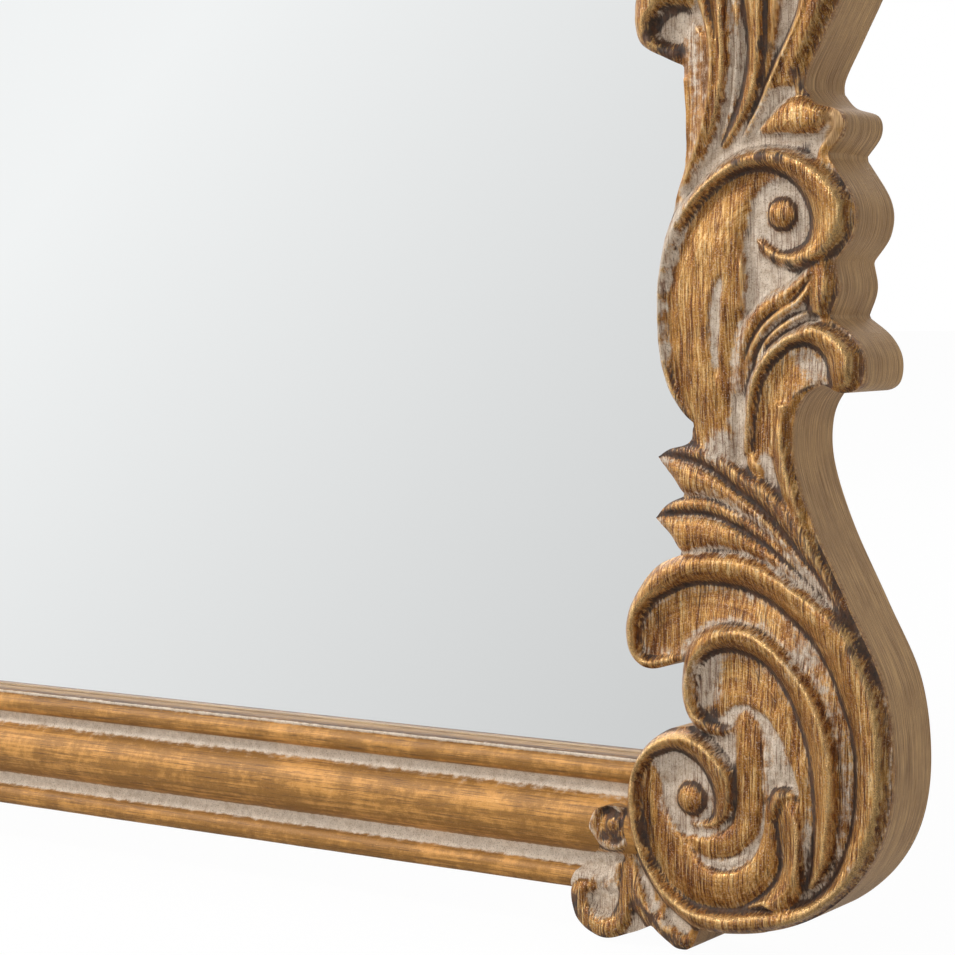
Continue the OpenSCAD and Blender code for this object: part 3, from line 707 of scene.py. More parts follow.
            (-40.5, 249.3, -35, 245.5), (-36, 251.7, -31.5, 250), (-31, 256, -28, 254),
        ],
        {
            0: (-4.4, -3.4, -4.6), 2: (-4.4, -2.6, -5), 5: (-4.6, -1.8, -5),
            7: (-4.6, -1, -5), 9: (-4.4, -1, -4.6),
        },
        glaze=(0.24, 0.02, 0.72), tooling=(0, 0.15, 0), wax=(0.7, 0, 0.5),
    ),
    ridge(
        [(-57, 212, 1.5), (-55.3, 222, 2.2), (-51.5, 230.5, 2.5), (-46.5, 236.5, 2.5), (-40.5, 240.5, 3),
         (-34.5, 244, 3), (-29.5, 250, 3)],
        {0: -4, 2: -2, 4: -1.4, 6: -1}, glaze=(0.4, 0.1, 0.64), wax=(0.3, 0.3, 0.3),
    ),
    ridge(
        [(-52.5, 215, 1.4), (-50.3, 224, 1.8), (-45.5, 231.3, 2), (-39, 236, 2.2), (-32.5, 239, 2.2)],
        {0: -4.6, 2: -2.4, 4: -2}, glaze=(0.3, 0, 0.5), wax=(0.5, 0.4, 0.3),
    ),
    Band(
        [(-32, 256, -23, 258), (-31, 248, -21.5, 249), (-31, 240, -24, 239)],
        {0: (-4.6, -1.4, -4), 1: (-4.6, -0.8, -4), 2: (-4.6, -1.6, -4)},
        glaze=(0.64, 0.3, 0.48), tooling=(0, 0.4, 0),
    ),
    # The low hook's rim and its hollow.
    HOOK,
    beside(
        HOOK,
        [
            (-44, 188), (-43.5, 198), (-41, 205), (-37.5, 208.7), (-34.5, 211.3), (-31.5, 213), (-29, 214),
            (-27, 214.3), (-25.5, 214.3), (-24, 214), (-23, 213.5),
        ],
        {0: (-5.8, -5.4, -4.6), 3: (-6.2, -5.4, -4.2), 7: (-6.2, -5.6, -4.2), 10: (-6, -5.6, -4.2)},
        glaze=(1.6, 0.06, 0.16), wax=(0, 0.2, 0.5), tooling=(4, 0.12, 0),
    ),
    # The fin on the outside.
    ridge(
        [(-50, 304.8, 1.5), (-45.5, 306.6, 5.5), (-41, 309, 10.5), (-36, 310, 13.6), (-31, 310, 14),
         (-26.5, 309.6, 11.5), (-24, 309.4, 8)],
        {0: -4.6, 1: -2.4, 3: -0.6, 4: -0.6, 5: -1.6, 6: -3.4}, tooling=(0, 0.4, 0), glaze=(0.3, 0, 0.4),
        wax=(0.3, 0, 0.2), fullness=3.6,
    ),
    # The spray of leaves: its side, the curled tip, then the leaves.
    Band(
        [
            (-86, 280, -85, 283), (-83.5, 290, -82, 289.5), (-82.7, 299, -78, 298), (-82.8, 309, -73.8, 309),
            (-83, 319, -71, 319.5), (-83.5, 328, -70.3, 328.5), (-84, 333, -71, 336), (-82, 338, -74, 342),
            (-80, 341, -78, 347),
        ],
        {
            0: (-4.2, -4, -3.4), 2: (-4.2, -3.6, -1.6), 5: (-4.2, -3.6, -0.6),
            7: (-5.2, -4.4, -1.6), 8: (-5.6, -5.2, -3.6),
        },
        wax=(0.15, 0.5, 0.45), glaze=(0.24, 0.02, 0),
    ),
    ridge([(-82, 296, 2), (-80.8, 305, 3), (-80.4, 315, 3.2), (-81, 326, 3)], -2.8, glaze=(0.16, 0, 0.16)),
    Band(
        [
            (-84, 331.5, -84.5, 338.3), (-91, 334, -90.5, 339.7), (-97, 336.8, -93.5, 342.3),
            (-101, 340.3, -95, 346.5), (-103, 350, -93.8, 350.2), (-101, 361, -89, 352.2),
            (-93, 368, -83.5, 352.3), (-83, 378, -78, 350.5),
        ],
        {0: (-4, -3, -5.2), 2: (-4, 0.8, -6), 4: (-4, 2.2, -6), 7: (-4, 2, -4.5)},
        glaze=(0.24, 0, 1.2), tooling=(0, 0.12, 3),
    ),
    ridge(
        [(-86, 280, 1.2), (-80, 292, 1.6), (-76, 301.5, 1.8), (-72.8, 311, 2), (-70.9, 320, 2),
         (-70.2, 328, 2), (-70.2, 337, 2.2), (-71.8, 346, 2.4), (-75.5, 357, 2.4), (-81, 368, 2)],
        {0: -3.6, 2: -0.6, 5: 0.3, 8: 0.2, 9: -3.6}, wax=(0.3, 0.25, 0.3),
    ),
    ridge(
        [(-81, 288, 1.5), (-77, 295, 3.5), (-72.5, 304, 5), (-69, 313, 5.5), (-67, 322, 5.5), (-66, 332, 5.5),
         (-65.8, 342, 6), (-67.5, 356, 8), (-71, 372, 10), (-75, 390, 11), (-77.5, 408, 8), (-78, 421, 3)],
        {0: -4, 2: -2, 5: 0, 8: 1.8, 10: 2.6, 11: 1}, tooling=(0, 0.15, 0), glaze=(0.48, 0.02, 0.56),
    ),
    ridge(
        [(-66, 303, 1.5), (-61.8, 315, 3), (-60, 328, 3.4), (-59.4, 340, 4), (-60, 353, 5), (-63.5, 374, 5)],
        {0: -5, 1: -3.4, 3: -2.2, 5: -2}, wax=(0.5, 0.2, 0.6), tooling=(0, 0.3, 0),
    ),
    ridge(
        [(-65, 300, 2), (-59.5, 308, 4), (-55, 317, 5.5), (-52.3, 327, 6.5), (-51.3, 337, 7), (-52, 352, 9),
         (-56, 374, 11), (-60.5, 397, 11), (-62, 415, 6), (-61.5, 424, 2)],
        {0: -4.4, 2: -1.6, 4: 0.2, 6: 2, 7: 2.4, 9: 0.8}, tooling=(0, 0.3, 0), glaze=(0.72, 0.22, 0.64),
    ),
    ridge(
        [(-57, 302, 1.2), (-50.5, 312.5, 1.6), (-46.5, 321, 1.8), (-43, 328, 2), (-39.5, 334.5, 2.2),
         (-36, 341, 2.5), (-33, 348, 3), (-30, 362, 6), (-31, 380, 9), (-36, 400, 9), (-40, 415, 6),
         (-42, 424, 2)],
        {0: -4.2, 2: -1.8, 4: 0, 6: 1, 8: 2.2, 10: 1.6, 11: 0}, wax=(0.3, 0.15, 0.3), glaze=(0.32, 0, 0.32),
    ),
    ridge(
        [(-48, 322, 2), (-46.5, 332, 4), (-44.6, 344, 5.5), (-44.5, 360, 7), (-47, 380, 8), (-50, 400, 7),
         (-51.5, 414, 3)],
        {0: -5, 2: -1.8, 4: 0.6, 5: 1, 6: 0}, glaze=(0.64, 0.25, 0.32),
    ),
    Band(
        [
            (-37, 321, -46, 321), (-34.5, 327, -43, 328), (-29.5, 335, -39.3, 335),
            (-25.5, 342.5, -35.5, 342), (-21.5, 350.5, -32.5, 350), (-15, 363, -28, 364), (-8, 382, -24, 384),
            (-4, 396, -16, 395),
        ],
        {0: (-4, -3.4, -4.6), 2: (-4, -0.6, -3.6), 4: (-4, 0.8, -2.6), 7: (-4, 0.5, -2.6)},
        tooling=(0, 0.25, 0), glaze=(0.32, 0.06, 0.4),
    ),
    # The small scroll on the rail's half round, and the foot scroll.
    ridge(
        [(-110, 51.5, 2.5), (-114, 54, 3.5), (-119, 52.7, 4.5), (-122.3, 47.5, 5), (-121.3, 41.3, 4.5),
         (-117, 37.5, 3.5), (-111.5, 37.3, 3), (-107.5, 41, 2.5)],
        {0: 0, 2: 1.2, 5: 1, 7: -0.5}, foot=-3, glaze=(0.5, 0.15, 0.5), tooling=(1.5, 0.2, 0),
        wax=(0.55, 0.25, 0.5),
    ),
    ridge(
        [(-122, 21.5, 3), (-128, 19.5, 6), (-130.3, 13.5, 9), (-127, 7.5, 11), (-120, 5, 9.5),
         (-113.5, 6.5, 8), (-109.5, 12, 7), (-108.3, 20, 6), (-107.8, 28, 4.5), (-107.5, 34, 3)],
        {0: -5.6, 1: -4.2, 3: -3.4, 6: -3.2, 8: -4, 9: -5.4}, foot=-5.8, glaze=(0.5, 0.06, 0.2),
        tooling=(2, 0.3, 0), fullness=2,
    ),
    ridge([(-111.5, 31, 3), (-113.5, 25.5, 4), (-117.5, 21, 3)], -4.8, foot=-6.4, wax=(0.5, 0.4, 0.6)),
]

# Round eyes of the scrolls: x, z, radius and the height that they stand on.
EYES = [(-80.4, 59, 6.4, -5.6), (-41.5, 275.3, 6.3, -5.4), (-114.2, 45.6, 3.3, -0.6)]

# Cuts along a path of x and z: width, depth, then how much wax and glaze they keep.
CUTS = [
    ([(-68, 215), (-69, 225), (-69, 235), (-68.5, 243), (-67.5, 250), (-66.3, 253.5)], 5, 1.6, 1, 0),
    ([(-70.6, 219), (-71.8, 230), (-71.6, 240), (-70.2, 250)], 1.3, 0.8, 0, 1),
    ([(-98, 57), (-97.6, 50), (-96.8, 43), (-95.2, 37)], 1.3, 0.7, 0, 0.9),
    ([(-93.6, 54), (-93.2, 47), (-93.2, 40)], 1, 0.5, 0, 0.8),
    ([(-100.8, 51), (-99.8, 44), (-98, 38)], 1, 0.5, 0, 0.8),
    ([(-52.5, 89), (-52.6, 76), (-52.5, 62)], 0.9, 0.25, 0, 0.6),
    ([(-56.6, 86), (-56.8, 72), (-56.4, 56)], 0.9, 0.25, 0, 0.5),
    ([(-68, 299), (-62, 307), (-58.5, 315), (-56, 325), (-54, 335)], 1.3, 0.7, 0, 1),
    (
        [(-76, 290), (-70, 299), (-66, 308), (-62.5, 317), (-60.5, 328), (-60, 340), (-61, 348)],
        3, 0.8, 0.9, 0,
    ),
    ([(-47, 310), (-42, 315), (-38, 320)], 3, 0.6, 0.9, 0),
    ([(-31.5, 58), (-31.5, 46), (-31.8, 35)], 2.4, 0.8, 0.9, 0),
    ([(-92, 131), (-80, 132.6), (-66, 131.6), (-54, 131)], 1, 0.35, 0, 0.5),
    ([(-125, 18.5), (-120.5, 14.5), (-116, 9.5)], 7.5, 1.1, 1, 0),
    ([(-131.5, 17), (-132.3, 12), (-130.5, 7)], 1, 0.6, 0, 1),
    ([(-129.3, 18.5), (-130, 14), (-128.6, 9.5)], 1, 0.5, 0, 0.9),
    ([(-103.5, 21), (-99.5, 14), (-93, 7.5), (-86.5, 2.8)], 1.6, 0.6, 0, 1),
    ([(-94, 340), (-91.5, 346), (-86, 350), (-79, 350.5)], 3, 0.8, 0, 1),
    ([(-134.5, 20), (-134.5, 12), (-130.5, 5), (-123, 1.2), (-115, 1.6)], 3, 0.1, 0, 0.9),
    ([(-61, 87), (-61.2, 72), (-61, 60), (-62.8, 51)], 1.4, 0.4, 0, 0.8),
    ([(-49.8, 88), (-49.8, 74), (-49.4, 60)], 1.2, 0.4, 0, 0.7),
]

# Soft patches of each mark: x, z, radius and amount. Some wax patches are painted highlights and some glaze
# patches painted shade, as noted.
PATCHES = {
    "wax": [
        # The first nine patches, along the high scroll's left rim, and (-106.5, 118) to (-101, 74), along the
        # outer scroll's left rim, are painted highlights where the rims face the light, partly pale wax
        (-91.5, 226, 3.6, 1.2), (-92, 234, 3.6, 1.4), (-92, 243, 3.6, 1.4), (-91.5, 252, 3.6, 1.4),
        (-90, 261, 3.6, 1.4), (-87.8, 269, 3.6, 1.4), (-84.8, 277, 3.6, 1.4), (-80.5, 284, 3.6, 1.3),
        (-75, 289.5, 3.4, 1.1), (-106.5, 118, 2.2, 0.5), (-106, 128, 2.4, 0.6), (-100, 139, 2.4, 0.5),
        (-90, 146, 2.2, 0.4), (-106, 62, 2.2, 0.4), (-101, 74, 2.2, 0.4), (-35, 238, 2.5, 0.8),
        (-76, 151.5, 2, 0.7), (-66, 151.5, 2, 0.7), (-56, 151, 2, 0.7), (-47, 149.5, 2, 0.7),
        (-30, 132, 3, 0.5), (-35, 24, 3, 0.3), (-72, 106, 7, 0.9), (-71, 99, 6, 0.8), (-42, 147, 5, 0.6),
        (-36, 143.5, 4, 0.7), (-34, 115, 7, 0.5), (-38, 111, 5, 0.5), (-68, 190, 6, 0.9),
        (-60, 190, 5, 0.9), (-60, 201, 4, 0.7), (-60, 209, 3.5, 0.6), (-53, 256, 4, 0.6),
        (-53, 246, 4, 0.6), (-28, 218, 5, 0.9), (-33, 222, 4, 0.8), (-66, 194, 5, 0.9),
        (-89.5, 56, 4.5, 0.7), (-88.5, 47, 3.5, 0.5), (-119.5, 14, 4.5, 1), (-123.5, 17, 3, 0.7),
        (-96, 16.5, 3.4, 0.9), (-90, 11.5, 3, 0.8), (-117, 60, 4, 0.9), (-111, 60, 4, 0.9),
        (-79, 342, 3.4, 0.9), (-76.5, 334, 3.4, 0.8), (-14, 42, 5, 0.42), (-11, 58, 5, 0.45),
        (-9, 76, 5, 0.45), (-10, 94, 5, 0.42),
    ],
    # Glaze in cuts and hollows; the patches noted below are painted shadow and painted shade
    "glaze": [
        (-80, 262, 6, 0.3), (-74, 272, 6, 0.35), (-84, 250, 5, 0.25), (-66, 281, 5, 0.35),
        (-58, 286, 5, 0.3), (-45, 259, 3, 0.8), (-38, 256.5, 3, 0.9), (-30, 257.5, 3, 0.8),
        (-50, 263, 3, 0.6), (-52, 271, 2.4, 0.5), (-24, 246, 4, 0.5), (-26, 234, 3.5, 0.5),
        (-22, 285, 4, 0.35), (-21, 270, 4, 0.35), (-24, 262, 4, 0.5), (-70, 91, 5, 0.8),
        (-65, 87.5, 4, 0.7), (-60, 294.5, 3, 0.8), (-50, 296.4, 3.4, 0.9), (-42.5, 295.6, 3, 0.8),
        (-87.5, 335.5, 4, 0.9), (-82, 336, 3.5, 0.9), (-50, 225, 4, 0.4), (-115.5, 51.4, 2.2, 1),
        (-117.6, 41, 2.6, 1), (-112.8, 40.4, 3, 0.9), (-54, 269, 3, 0.6), (-30, 241, 3.4, 0.8),
        # Here (-41, 65) is a painted shadow under the leaflet's hooked top
        (-41, 65, 2.4, 0.8), (-35.5, 325, 3.4, 0.7), (-47.3, 335, 3.5, 0.8), (-66, 80, 5, 0.45),
        (-64.5, 71, 5, 0.5), (-62.5, 62, 4, 0.5), (-64.5, 54, 3.5, 0.5), (-74, 83, 5, 0.35),
        (-99, 48, 3.5, 0.4), (-96, 42, 3, 0.35), (-89, 72, 4, 0.3), (-132, 14, 3.4, 0.9),
        (-130, 18, 2, 0.7), (-132, 8, 3.2, 0.9), (-126, 3, 3.2, 0.8), (-119, 2, 3, 0.55),
        (-110, 4, 3, 0.45), (-107, 11, 3, 0.4), (-101.5, 18, 3, 0.8), (-97, 11.5, 3, 0.9),
        (-91, 5, 2.8, 0.9), (-86, 1.5, 2.8, 0.9), (-80.5, 5, 2.4, 0.6), (-91, 346, 3, 0.9),
        (-85.5, 350.5, 3.4, 1), (-79, 350, 3, 0.8), (-93.5, 341, 2.5, 0.8), (-90, 337, 3, 0.9),
        # Here (-31, 299) and (-27, 302.5) are a painted shadow below the fin
        (-33, 320.5, 3.4, 0.8), (-31, 299, 3.4, 0.8), (-27, 302.5, 2.4, 0.5), (-8, 110, 5, 0.5),
        (-11, 120, 5, 0.6), (-16, 130, 5, 0.7), (-22, 142, 4.5, 0.6), (-27, 152, 4, 0.5),
        (-86, 344, 4, 0.6), (-43, 60, 3.5, 0.4), (-128, 10, 7, 0.5), (-112, 12, 8, 0.5), (-98, 9, 7, 0.5),
        (-86, 5, 6, 0.55), (-106, 22, 6, 0.45), (-92, 125, 8, 0.42), (-76, 132, 8, 0.42),
        (-62, 126, 8, 0.42), (-82, 165, 7, 0.42), (-66, 170, 7, 0.42), (-82, 186, 6, 0.42),
        (-60, 158, 6, 0.42), (-44, 100, 6, 0.45), (-52, 108, 6, 0.45), (-34, 88, 6, 0.4),
        (-30, 70, 6, 0.35), (-60, 130, 6, 0.4), (-48, 128, 6, 0.4), (-40, 160, 6, 0.4), (-52, 165, 5, 0.4),
        (-46, 175, 5, 0.35), (-100, 30, 6, 0.35), (-106, 40, 5, 0.4), (-39, 62, 3.5, 0.4),
        (-40, 50, 4, 0.35), (-37, 42, 4, 0.3), (-38, 32, 4, 0.3), (-26, 40, 4, 0.35), (-28, 30, 4, 0.4),
        # Here (-20, 28) to (-85, 17) are painted shade on the downward face of the outer scroll's bottom
        (-20, 28, 5, 0.2), (-34, 19, 5, 0.25), (-60, 14, 5, 0.25), (-85, 17, 4, 0.25),
    ],
    "flank": [
        (-20, 308, 4, 1), (-21.5, 302, 3.4, 1), (-19, 313, 3, 0.8), (-31, 322, 3, 0.35),
    ],
}


# The carving was laid out as it is seen from one place in front of it: that place's x and z, and its distance
# from the carved edge.
VIEWPOINT = (376.6, 239.2, 788)

# Measures of one quarter, in millimetres: the moulding's width, the rebate's width, how far in from the
# frame's outer edge the sight edges of rail and stile lie, and the rebate's low side. Then three heights over
# the carved edge: the carving's ground, its level border, and what divides a section's face from its sides.
MOULDING = 54
REBATE = 9
RAIL_SIGHT = 70.5
STILE_SIGHT = 82
REBATE_LOW = RAIL_SIGHT - REBATE
GROUND = -5.8
EDGE_LEVEL = -4
FACE_FLOOR = -15

# Distances from the frame's side: where the rail's whole moulding ends, where its tail beside the foot scroll
# ends, and how far the foot scroll's back reaches. The tail is this wide from the sight edge.
RAIL_END, TAIL_END, FOOT_END = 130, 105, 139
TAIL_WIDTH = 43.5
# Inward of this x and up to this z the ground between the strips is the rail's own section. Its half round
# lies between two of z, and the foot scroll's top is a little under that.
RAIL_GROUND, RAIL_GROUND_TOP = -104.5, 58
HALF_ROUND, FOOT_TOP = (33, 56), 30
# Distances from the frame's bottom: where a stile's moulding starts, and where the carving over it ends.
STILE_START, CARVING_END = 385, 425

# A small step between two faces that would otherwise lie in one plane, and a margin at their ends.
CLEARANCE, MARGIN = 0.3, 1

# Marks kept at each point; the last holds the crests' rubbed gold and painted highlight
MARKS = ("wax", "glaze", "tooling", "flank", "worn")

# The third value of a grain keeps one part's streaks apart from another's. The strips count up from 0.
GRAINS = {"eye": 200, "wall": 300, "back": 350, "rebate": 360, "moulding": 400, "edge": 450, "ground": 500}

# How far down a side wall its rows of points lie, from the face to the foot.
WALL_ROWS = np.array([0, 0.04, 0.1, 0.2, 0.35, 1])


def spline(rows, steps=24):
    """Rows of numbers on a smooth curve through the given rows."""
    rows = np.asarray(rows, float)
    if len(rows) < 3:
        return np.array([rows[0] + (rows[-1] - rows[0]) * t for t in np.linspace(0, 1, steps)])
    padded = np.vstack([2 * rows[0] - rows[1], rows, 2 * rows[-1] - rows[-2]])
    t = np.linspace(0, len(rows) - 1, steps * (len(rows) - 1) + 1)
    i = np.minimum(t.astype(int), len(rows) - 2)
    f = (t - i)[:, None]
    a, b, c, d = (padded[i + k] for k in range(4))
    return 0.5 * (2 * b + (c - a) * f + (2 * a - 5 * b + 4 * c - d) * f**2 + (3 * b - a - 3 * c + d) * f**3)


def travelled(line):
    """How far along a line each of its points lies."""
    return np.concatenate([[0], np.cumsum(np.linalg.norm(np.diff(line, axis=0), axis=1))])


def evenly(rows, plan, spacing):
    """Rows spaced evenly along their plan, and the distance along it of each."""
    reached = travelled(plan)
    count = max(3, int(np.ceil(reached[-1] / spacing)) + 1)
    at = np.linspace(0, reached[-1], count)
    return np.stack([np.interp(at, reached, column) for column in rows.T], 1), at


def outline_points(runs, spacing):
    """Points round a closed outline whose runs meet at sharp corners."""
    points = []
    for run in runs:
        smooth = spline(run)
        points.append(evenly(smooth, smooth, spacing)[0][:-1])
    return np.vstack(points)


def inside(outline, x, z):
    """Which points of a grid, given by its columns' x and its rows' z, lie inside a closed outline."""
    ends = np.roll(outline, -1, axis=0)
    found = np.zeros((len(z), len(x)), bool)
    for row, level in enumerate(z):
        crossed = (outline[:, 1] > level) != (ends[:, 1] > level)
        a, b = outline[crossed], ends[crossed]
        crossings = np.sort(a[:, 0] + (level - a[:, 1]) / (b[:, 1] - a[:, 1]) * (b[:, 0] - a[:, 0]))
        found[row] = np.searchsorted(crossings, x) % 2 == 1
    return found


def is_inside(outline, points):
    """Which points lie inside a closed outline."""
    return np.array([inside(outline, point[:1], point[1:])[0, 0] for point in points])


def shown_edges(outlines):
    """The edges of each outline that lie outside the others: their starts, their ends, and the distance along
    them to each start. The distances of one outline are kept apart from the next one's."""
    apart = 2000
    starts, ends, along = [], [], []
    for i, outline in enumerate(outlines):
        following = np.roll(outline, -1, axis=0)
        middles = (outline + following) / 2
        others = outlines[:i] + outlines[i + 1 :]
        shown = ~np.any([is_inside(other, middles) for other in others], axis=0)
        starts.append(outline[shown])
        ends.append(following[shown])
        along.append(travelled(outline)[shown] + apart * i)
    return np.vstack(starts), np.vstack(ends), np.concatenate(along)


def nearest_on(starts, ends, along, points):
    """For each point, the nearest place on a set of lines and the distance along them to that place."""
    best, reached, far = np.zeros_like(points), np.zeros(len(points)), np.full(len(points), 1e9)
    for a, b, start in zip(starts, ends, along):
        step = b - a
        size = max(float(np.linalg.norm(step)), 1e-9)
        t = np.clip(((points - a) @ step) / size**2, 0, 1)
        place = a + t[:, None] * step
        gap = np.linalg.norm(points - place, axis=1)
        closer = gap < far
        best[closer], far[closer], reached[closer] = place[closer], gap[closer], start + t[closer] * size
    return best, reached


def smoothstep(x):
    x = np.clip(x, 0, 1)
    return x * x * (3 - 2 * x)


def fading(reach, distance):
    """1 at no distance, and next to nothing beyond twice the reach. A reach of 0 gives 0 everywhere."""
    return np.exp(-((distance / reach) ** 2)) if reach else np.zeros_like(distance)


def softened(grid, reach):
    """A grid of values blurred over a number of cells."""
    margin = 40
    padded = np.pad(grid, margin, mode="edge")
    down, across = (np.fft.fftfreq(n) for n in padded.shape)
    fade = np.exp(-2 * (np.pi * reach) ** 2 * (down[:, None] ** 2 + across[None, :] ** 2))
    return np.fft.ifft2(np.fft.fft2(padded) * fade).real[margin:-margin, margin:-margin]


def sight_line(x, z, height):
    """Where a place that was laid out on the carved edge's plane lies once it has its height."""
    eye_x, eye_z, distance = VIEWPOINT
    return x + (eye_x - x) * height / distance, z + (eye_z - z) * height / distance


class Relief:
    """The carving of one quarter as a fine grid of heights and finishes, in millimetres."""

    STEP, LEFT, LOW, COLUMNS, ROWS = 0.4, -142.0, -6.0, 371, 1096
    LAYERS = ("height", "u", "v", "seed") + MARKS
    EMPTY = -50
    # Spacing of a sheet's points along it and across it, and the extra width that a steep one is given.
    ALONG, ACROSS, STEEPNESS = 0.3, 0.28, 9
    # How many cells round the outline are measured, and the width of the level edge beside it.
    MEASURED, EDGE_WIDTH = 10, 3.4

    def __init__(self):
        self.x = self.LEFT + self.STEP * np.arange(self.COLUMNS)
        self.z = self.LOW + self.STEP * np.arange(self.ROWS)
        self.layers = {name: np.zeros((self.ROWS, self.COLUMNS)) for name in self.LAYERS}
        self.layers["height"] += self.EMPTY
        self.edge = np.full((self.ROWS, self.COLUMNS), 9.0)

    def cells(self, x, z):
        """The column and the row at some places, with their fractions."""
        return (x - self.LEFT) / self.STEP, (z - self.LOW) / self.STEP

    def holds(self, column, row):
        """Which of some columns and rows are on the grid."""
        return (column >= 0) & (column < self.COLUMNS) & (row >= 0) & (row < self.ROWS)

    def bare(self):
        """Which cells nothing has been laid on."""
        return self.layers["height"] < self.EMPTY + 1

    def fill(self, chosen, **values):
        """Gives the chosen cells their values."""
        for name, value in values.items():
            self.layers[name][chosen] = np.broadcast_to(value, chosen.shape)[chosen]

    def paint(self, x, z, **values):
        """Adds a sheet of closely spaced points. The highest one at a place stays."""
        values = {name: np.broadcast_to(value, x.shape).ravel() for name, value in values.items()}
        column, row = (np.rint(cell.ravel()).astype(int) for cell in self.cells(x, z))
        kept = self.holds(column, row)
        order = np.flatnonzero(kept)[np.argsort(values["height"][kept], kind="stable")]
        cell = row[order] * self.COLUMNS + column[order]
        higher = values["height"][order] > self.layers["height"].ravel()[cell]
        order, cell = order[higher], cell[higher]
        for name, value in values.items():
            self.layers[name].reshape(-1)[cell] = value[order]

    def strip(self, band, seed):
        """A band's sheet, which swells from its two edges to its crest."""
        rows = np.asarray(band.rows, float)
        keys = sorted(band.heights)
        levels = np.array([band.heights[k] for k in keys], float)
        profile = np.stack([np.interp(np.arange(len(rows)), keys, column) for column in levels.T], 1)
        dense = spline(np.hstack([rows, profile]))
        lines = dense[:, :2], dense[:, 2:4], (dense[:, :2] + dense[:, 2:4]) / 2
        longest = max(lines, key=lambda line: np.linalg.norm(np.diff(line, axis=0), axis=1).sum())
        stations, along = evenly(dense, longest, self.ALONG)
        first, second = stations[:, :2], stations[:, 2:4]
        widths = np.maximum(np.linalg.norm(second - first, axis=1), 0.2)[:, None]
        v = np.linspace(0, 1, int((widths.max() + self.STEEPNESS) / self.ACROSS))
        x = first[:, :1] * (1 - v) + second[:, :1] * v
        z = first[:, 1:] * (1 - v) + second[:, 1:] * v
        low_a, top, low_b = (stations[:, i : i + 1] for i in (4, 5, 6))
        swell = 1 - np.abs(2 * v - 1) ** band.fullness
        height = low_a * (1 - v) + low_b * v + (top - (low_a + low_b) / 2) * swell
        x, z = sight_line(x, z, height)
        from_a, from_b = v * widths, (1 - v) * widths

        def from_edges(reach_a, everywhere, reach_b):
            return np.maximum(fading(reach_a, from_a), fading(reach_b, from_b)) + everywhere

        reach = 2.6
        edge_a, middle, edge_b = band.wax
        wax = middle + (edge_a - middle) * fading(reach, from_a) + (edge_b - middle) * fading(reach, from_b)
        self.paint(
            x, z, height=height, u=along[:, None], v=from_a, seed=seed, wax=wax,
            glaze=from_edges(*band.glaze), tooling=from_edges(*band.tooling),
        )

    def eye(self, x, z, radius, foot, seed):
        """A scroll's round eye."""
        x, z = sight_line(x, z, foot + 0.4 * radius)
        turn = np.linspace(0, 2 * np.pi, int(radius * 24))
        out = np.linspace(0, 1, int(radius * 5))[:, None]
        self.paint(
            x + radius * out * np.cos(turn), z + radius * out * np.sin(turn),
            height=foot + 0.62 * radius * (1 - out**2) ** 0.75, u=turn * radius, v=out * radius, seed=seed,
            wax=0, glaze=smoothstep((out - 0.6) / 0.4) * 0.8 + 0.25, tooling=0.3,
        )

    def close_gaps(self):
        """Fills the cells that the sheets missed from those round them."""
        around = [(a, b) for a in (0, 1, 2) for b in (0, 1, 2) if (a, b) != (1, 1)]
        for _ in range(3):
            made = np.pad(~self.bare(), 1)
            count = sum(made[a : a + self.ROWS, b : b + self.COLUMNS] for a, b in around)
            gap = ~made[1:-1, 1:-1] & (count >= 4)
            for layer in self.layers.values():
                known = np.pad(layer, 1) * made
                total = sum(known[a : a + self.ROWS, b : b + self.COLUMNS] for a, b in around)
                layer[gap] = total[gap] / count[gap]

    def lay_edge(self, x, z, outline):
        """Measures how far each place is from the outline, and leaves a level edge where no strip is."""
        closed = np.vstack([outline, outline[:1]])
        line = evenly(closed, closed, self.STEP)[0]
        column, row = (np.rint(cell).astype(int) for cell in self.cells(*line.T))
        reach = range(-self.MEASURED, self.MEASURED + 1)
        steps = [(a, b) for a in reach for b in reach if np.hypot(a, b) < self.MEASURED]
        for a, b in sorted(steps, key=lambda step: -np.hypot(*step)):
            near = self.holds(column + a, row + b)
            self.edge[(row + b)[near], (column + a)[near]] = np.hypot(a, b) * self.STEP
        bare = (self.edge < self.EDGE_WIDTH) & self.bare()
        self.fill(bare, height=EDGE_LEVEL, u=z, v=x, seed=GRAINS["edge"], wax=0.05)

    def lay_ground(self, rail, outlines):
        """Fills the ground between the strips, which at the rail's end is the rail's own section."""
        x, z = np.meshgrid(self.x, self.z)
        self.lay_edge(x, z, outlines[0])
        at_rail = x < RAIL_GROUND
        section = np.interp(RAIL_SIGHT - z, *rail) + 0.25
        # The foot scroll's floor, which rises a little towards the rail's lower edge
        under_foot = 1.4 * smoothstep((24 - z) / 6) - 8.4
        ground = np.where(at_rail & (z <= RAIL_GROUND_TOP), np.maximum(section, under_foot), GROUND)
        half_round = at_rail & (z > HALF_ROUND[0]) & (z < HALF_ROUND[1])
        wax = np.where(half_round, 0.15, 0.85)
        self.fill(self.bare(), height=ground, u=x, v=z, seed=GRAINS["ground"], wax=wax)
        shown = (self.layers["height"] < ground) & at_rail & (z > FOOT_TOP)
        self.layers["height"][shown] = ground[shown]

    def window(self, points, reach):
        """The part of the grid round a set of points."""
        low, high = points.min(axis=0) - reach, points.max(axis=0) + reach
        columns = slice(*np.searchsorted(self.x, (low[0], high[0])))
        rows = slice(*np.searchsorted(self.z, (low[1], high[1])))
        return rows, columns

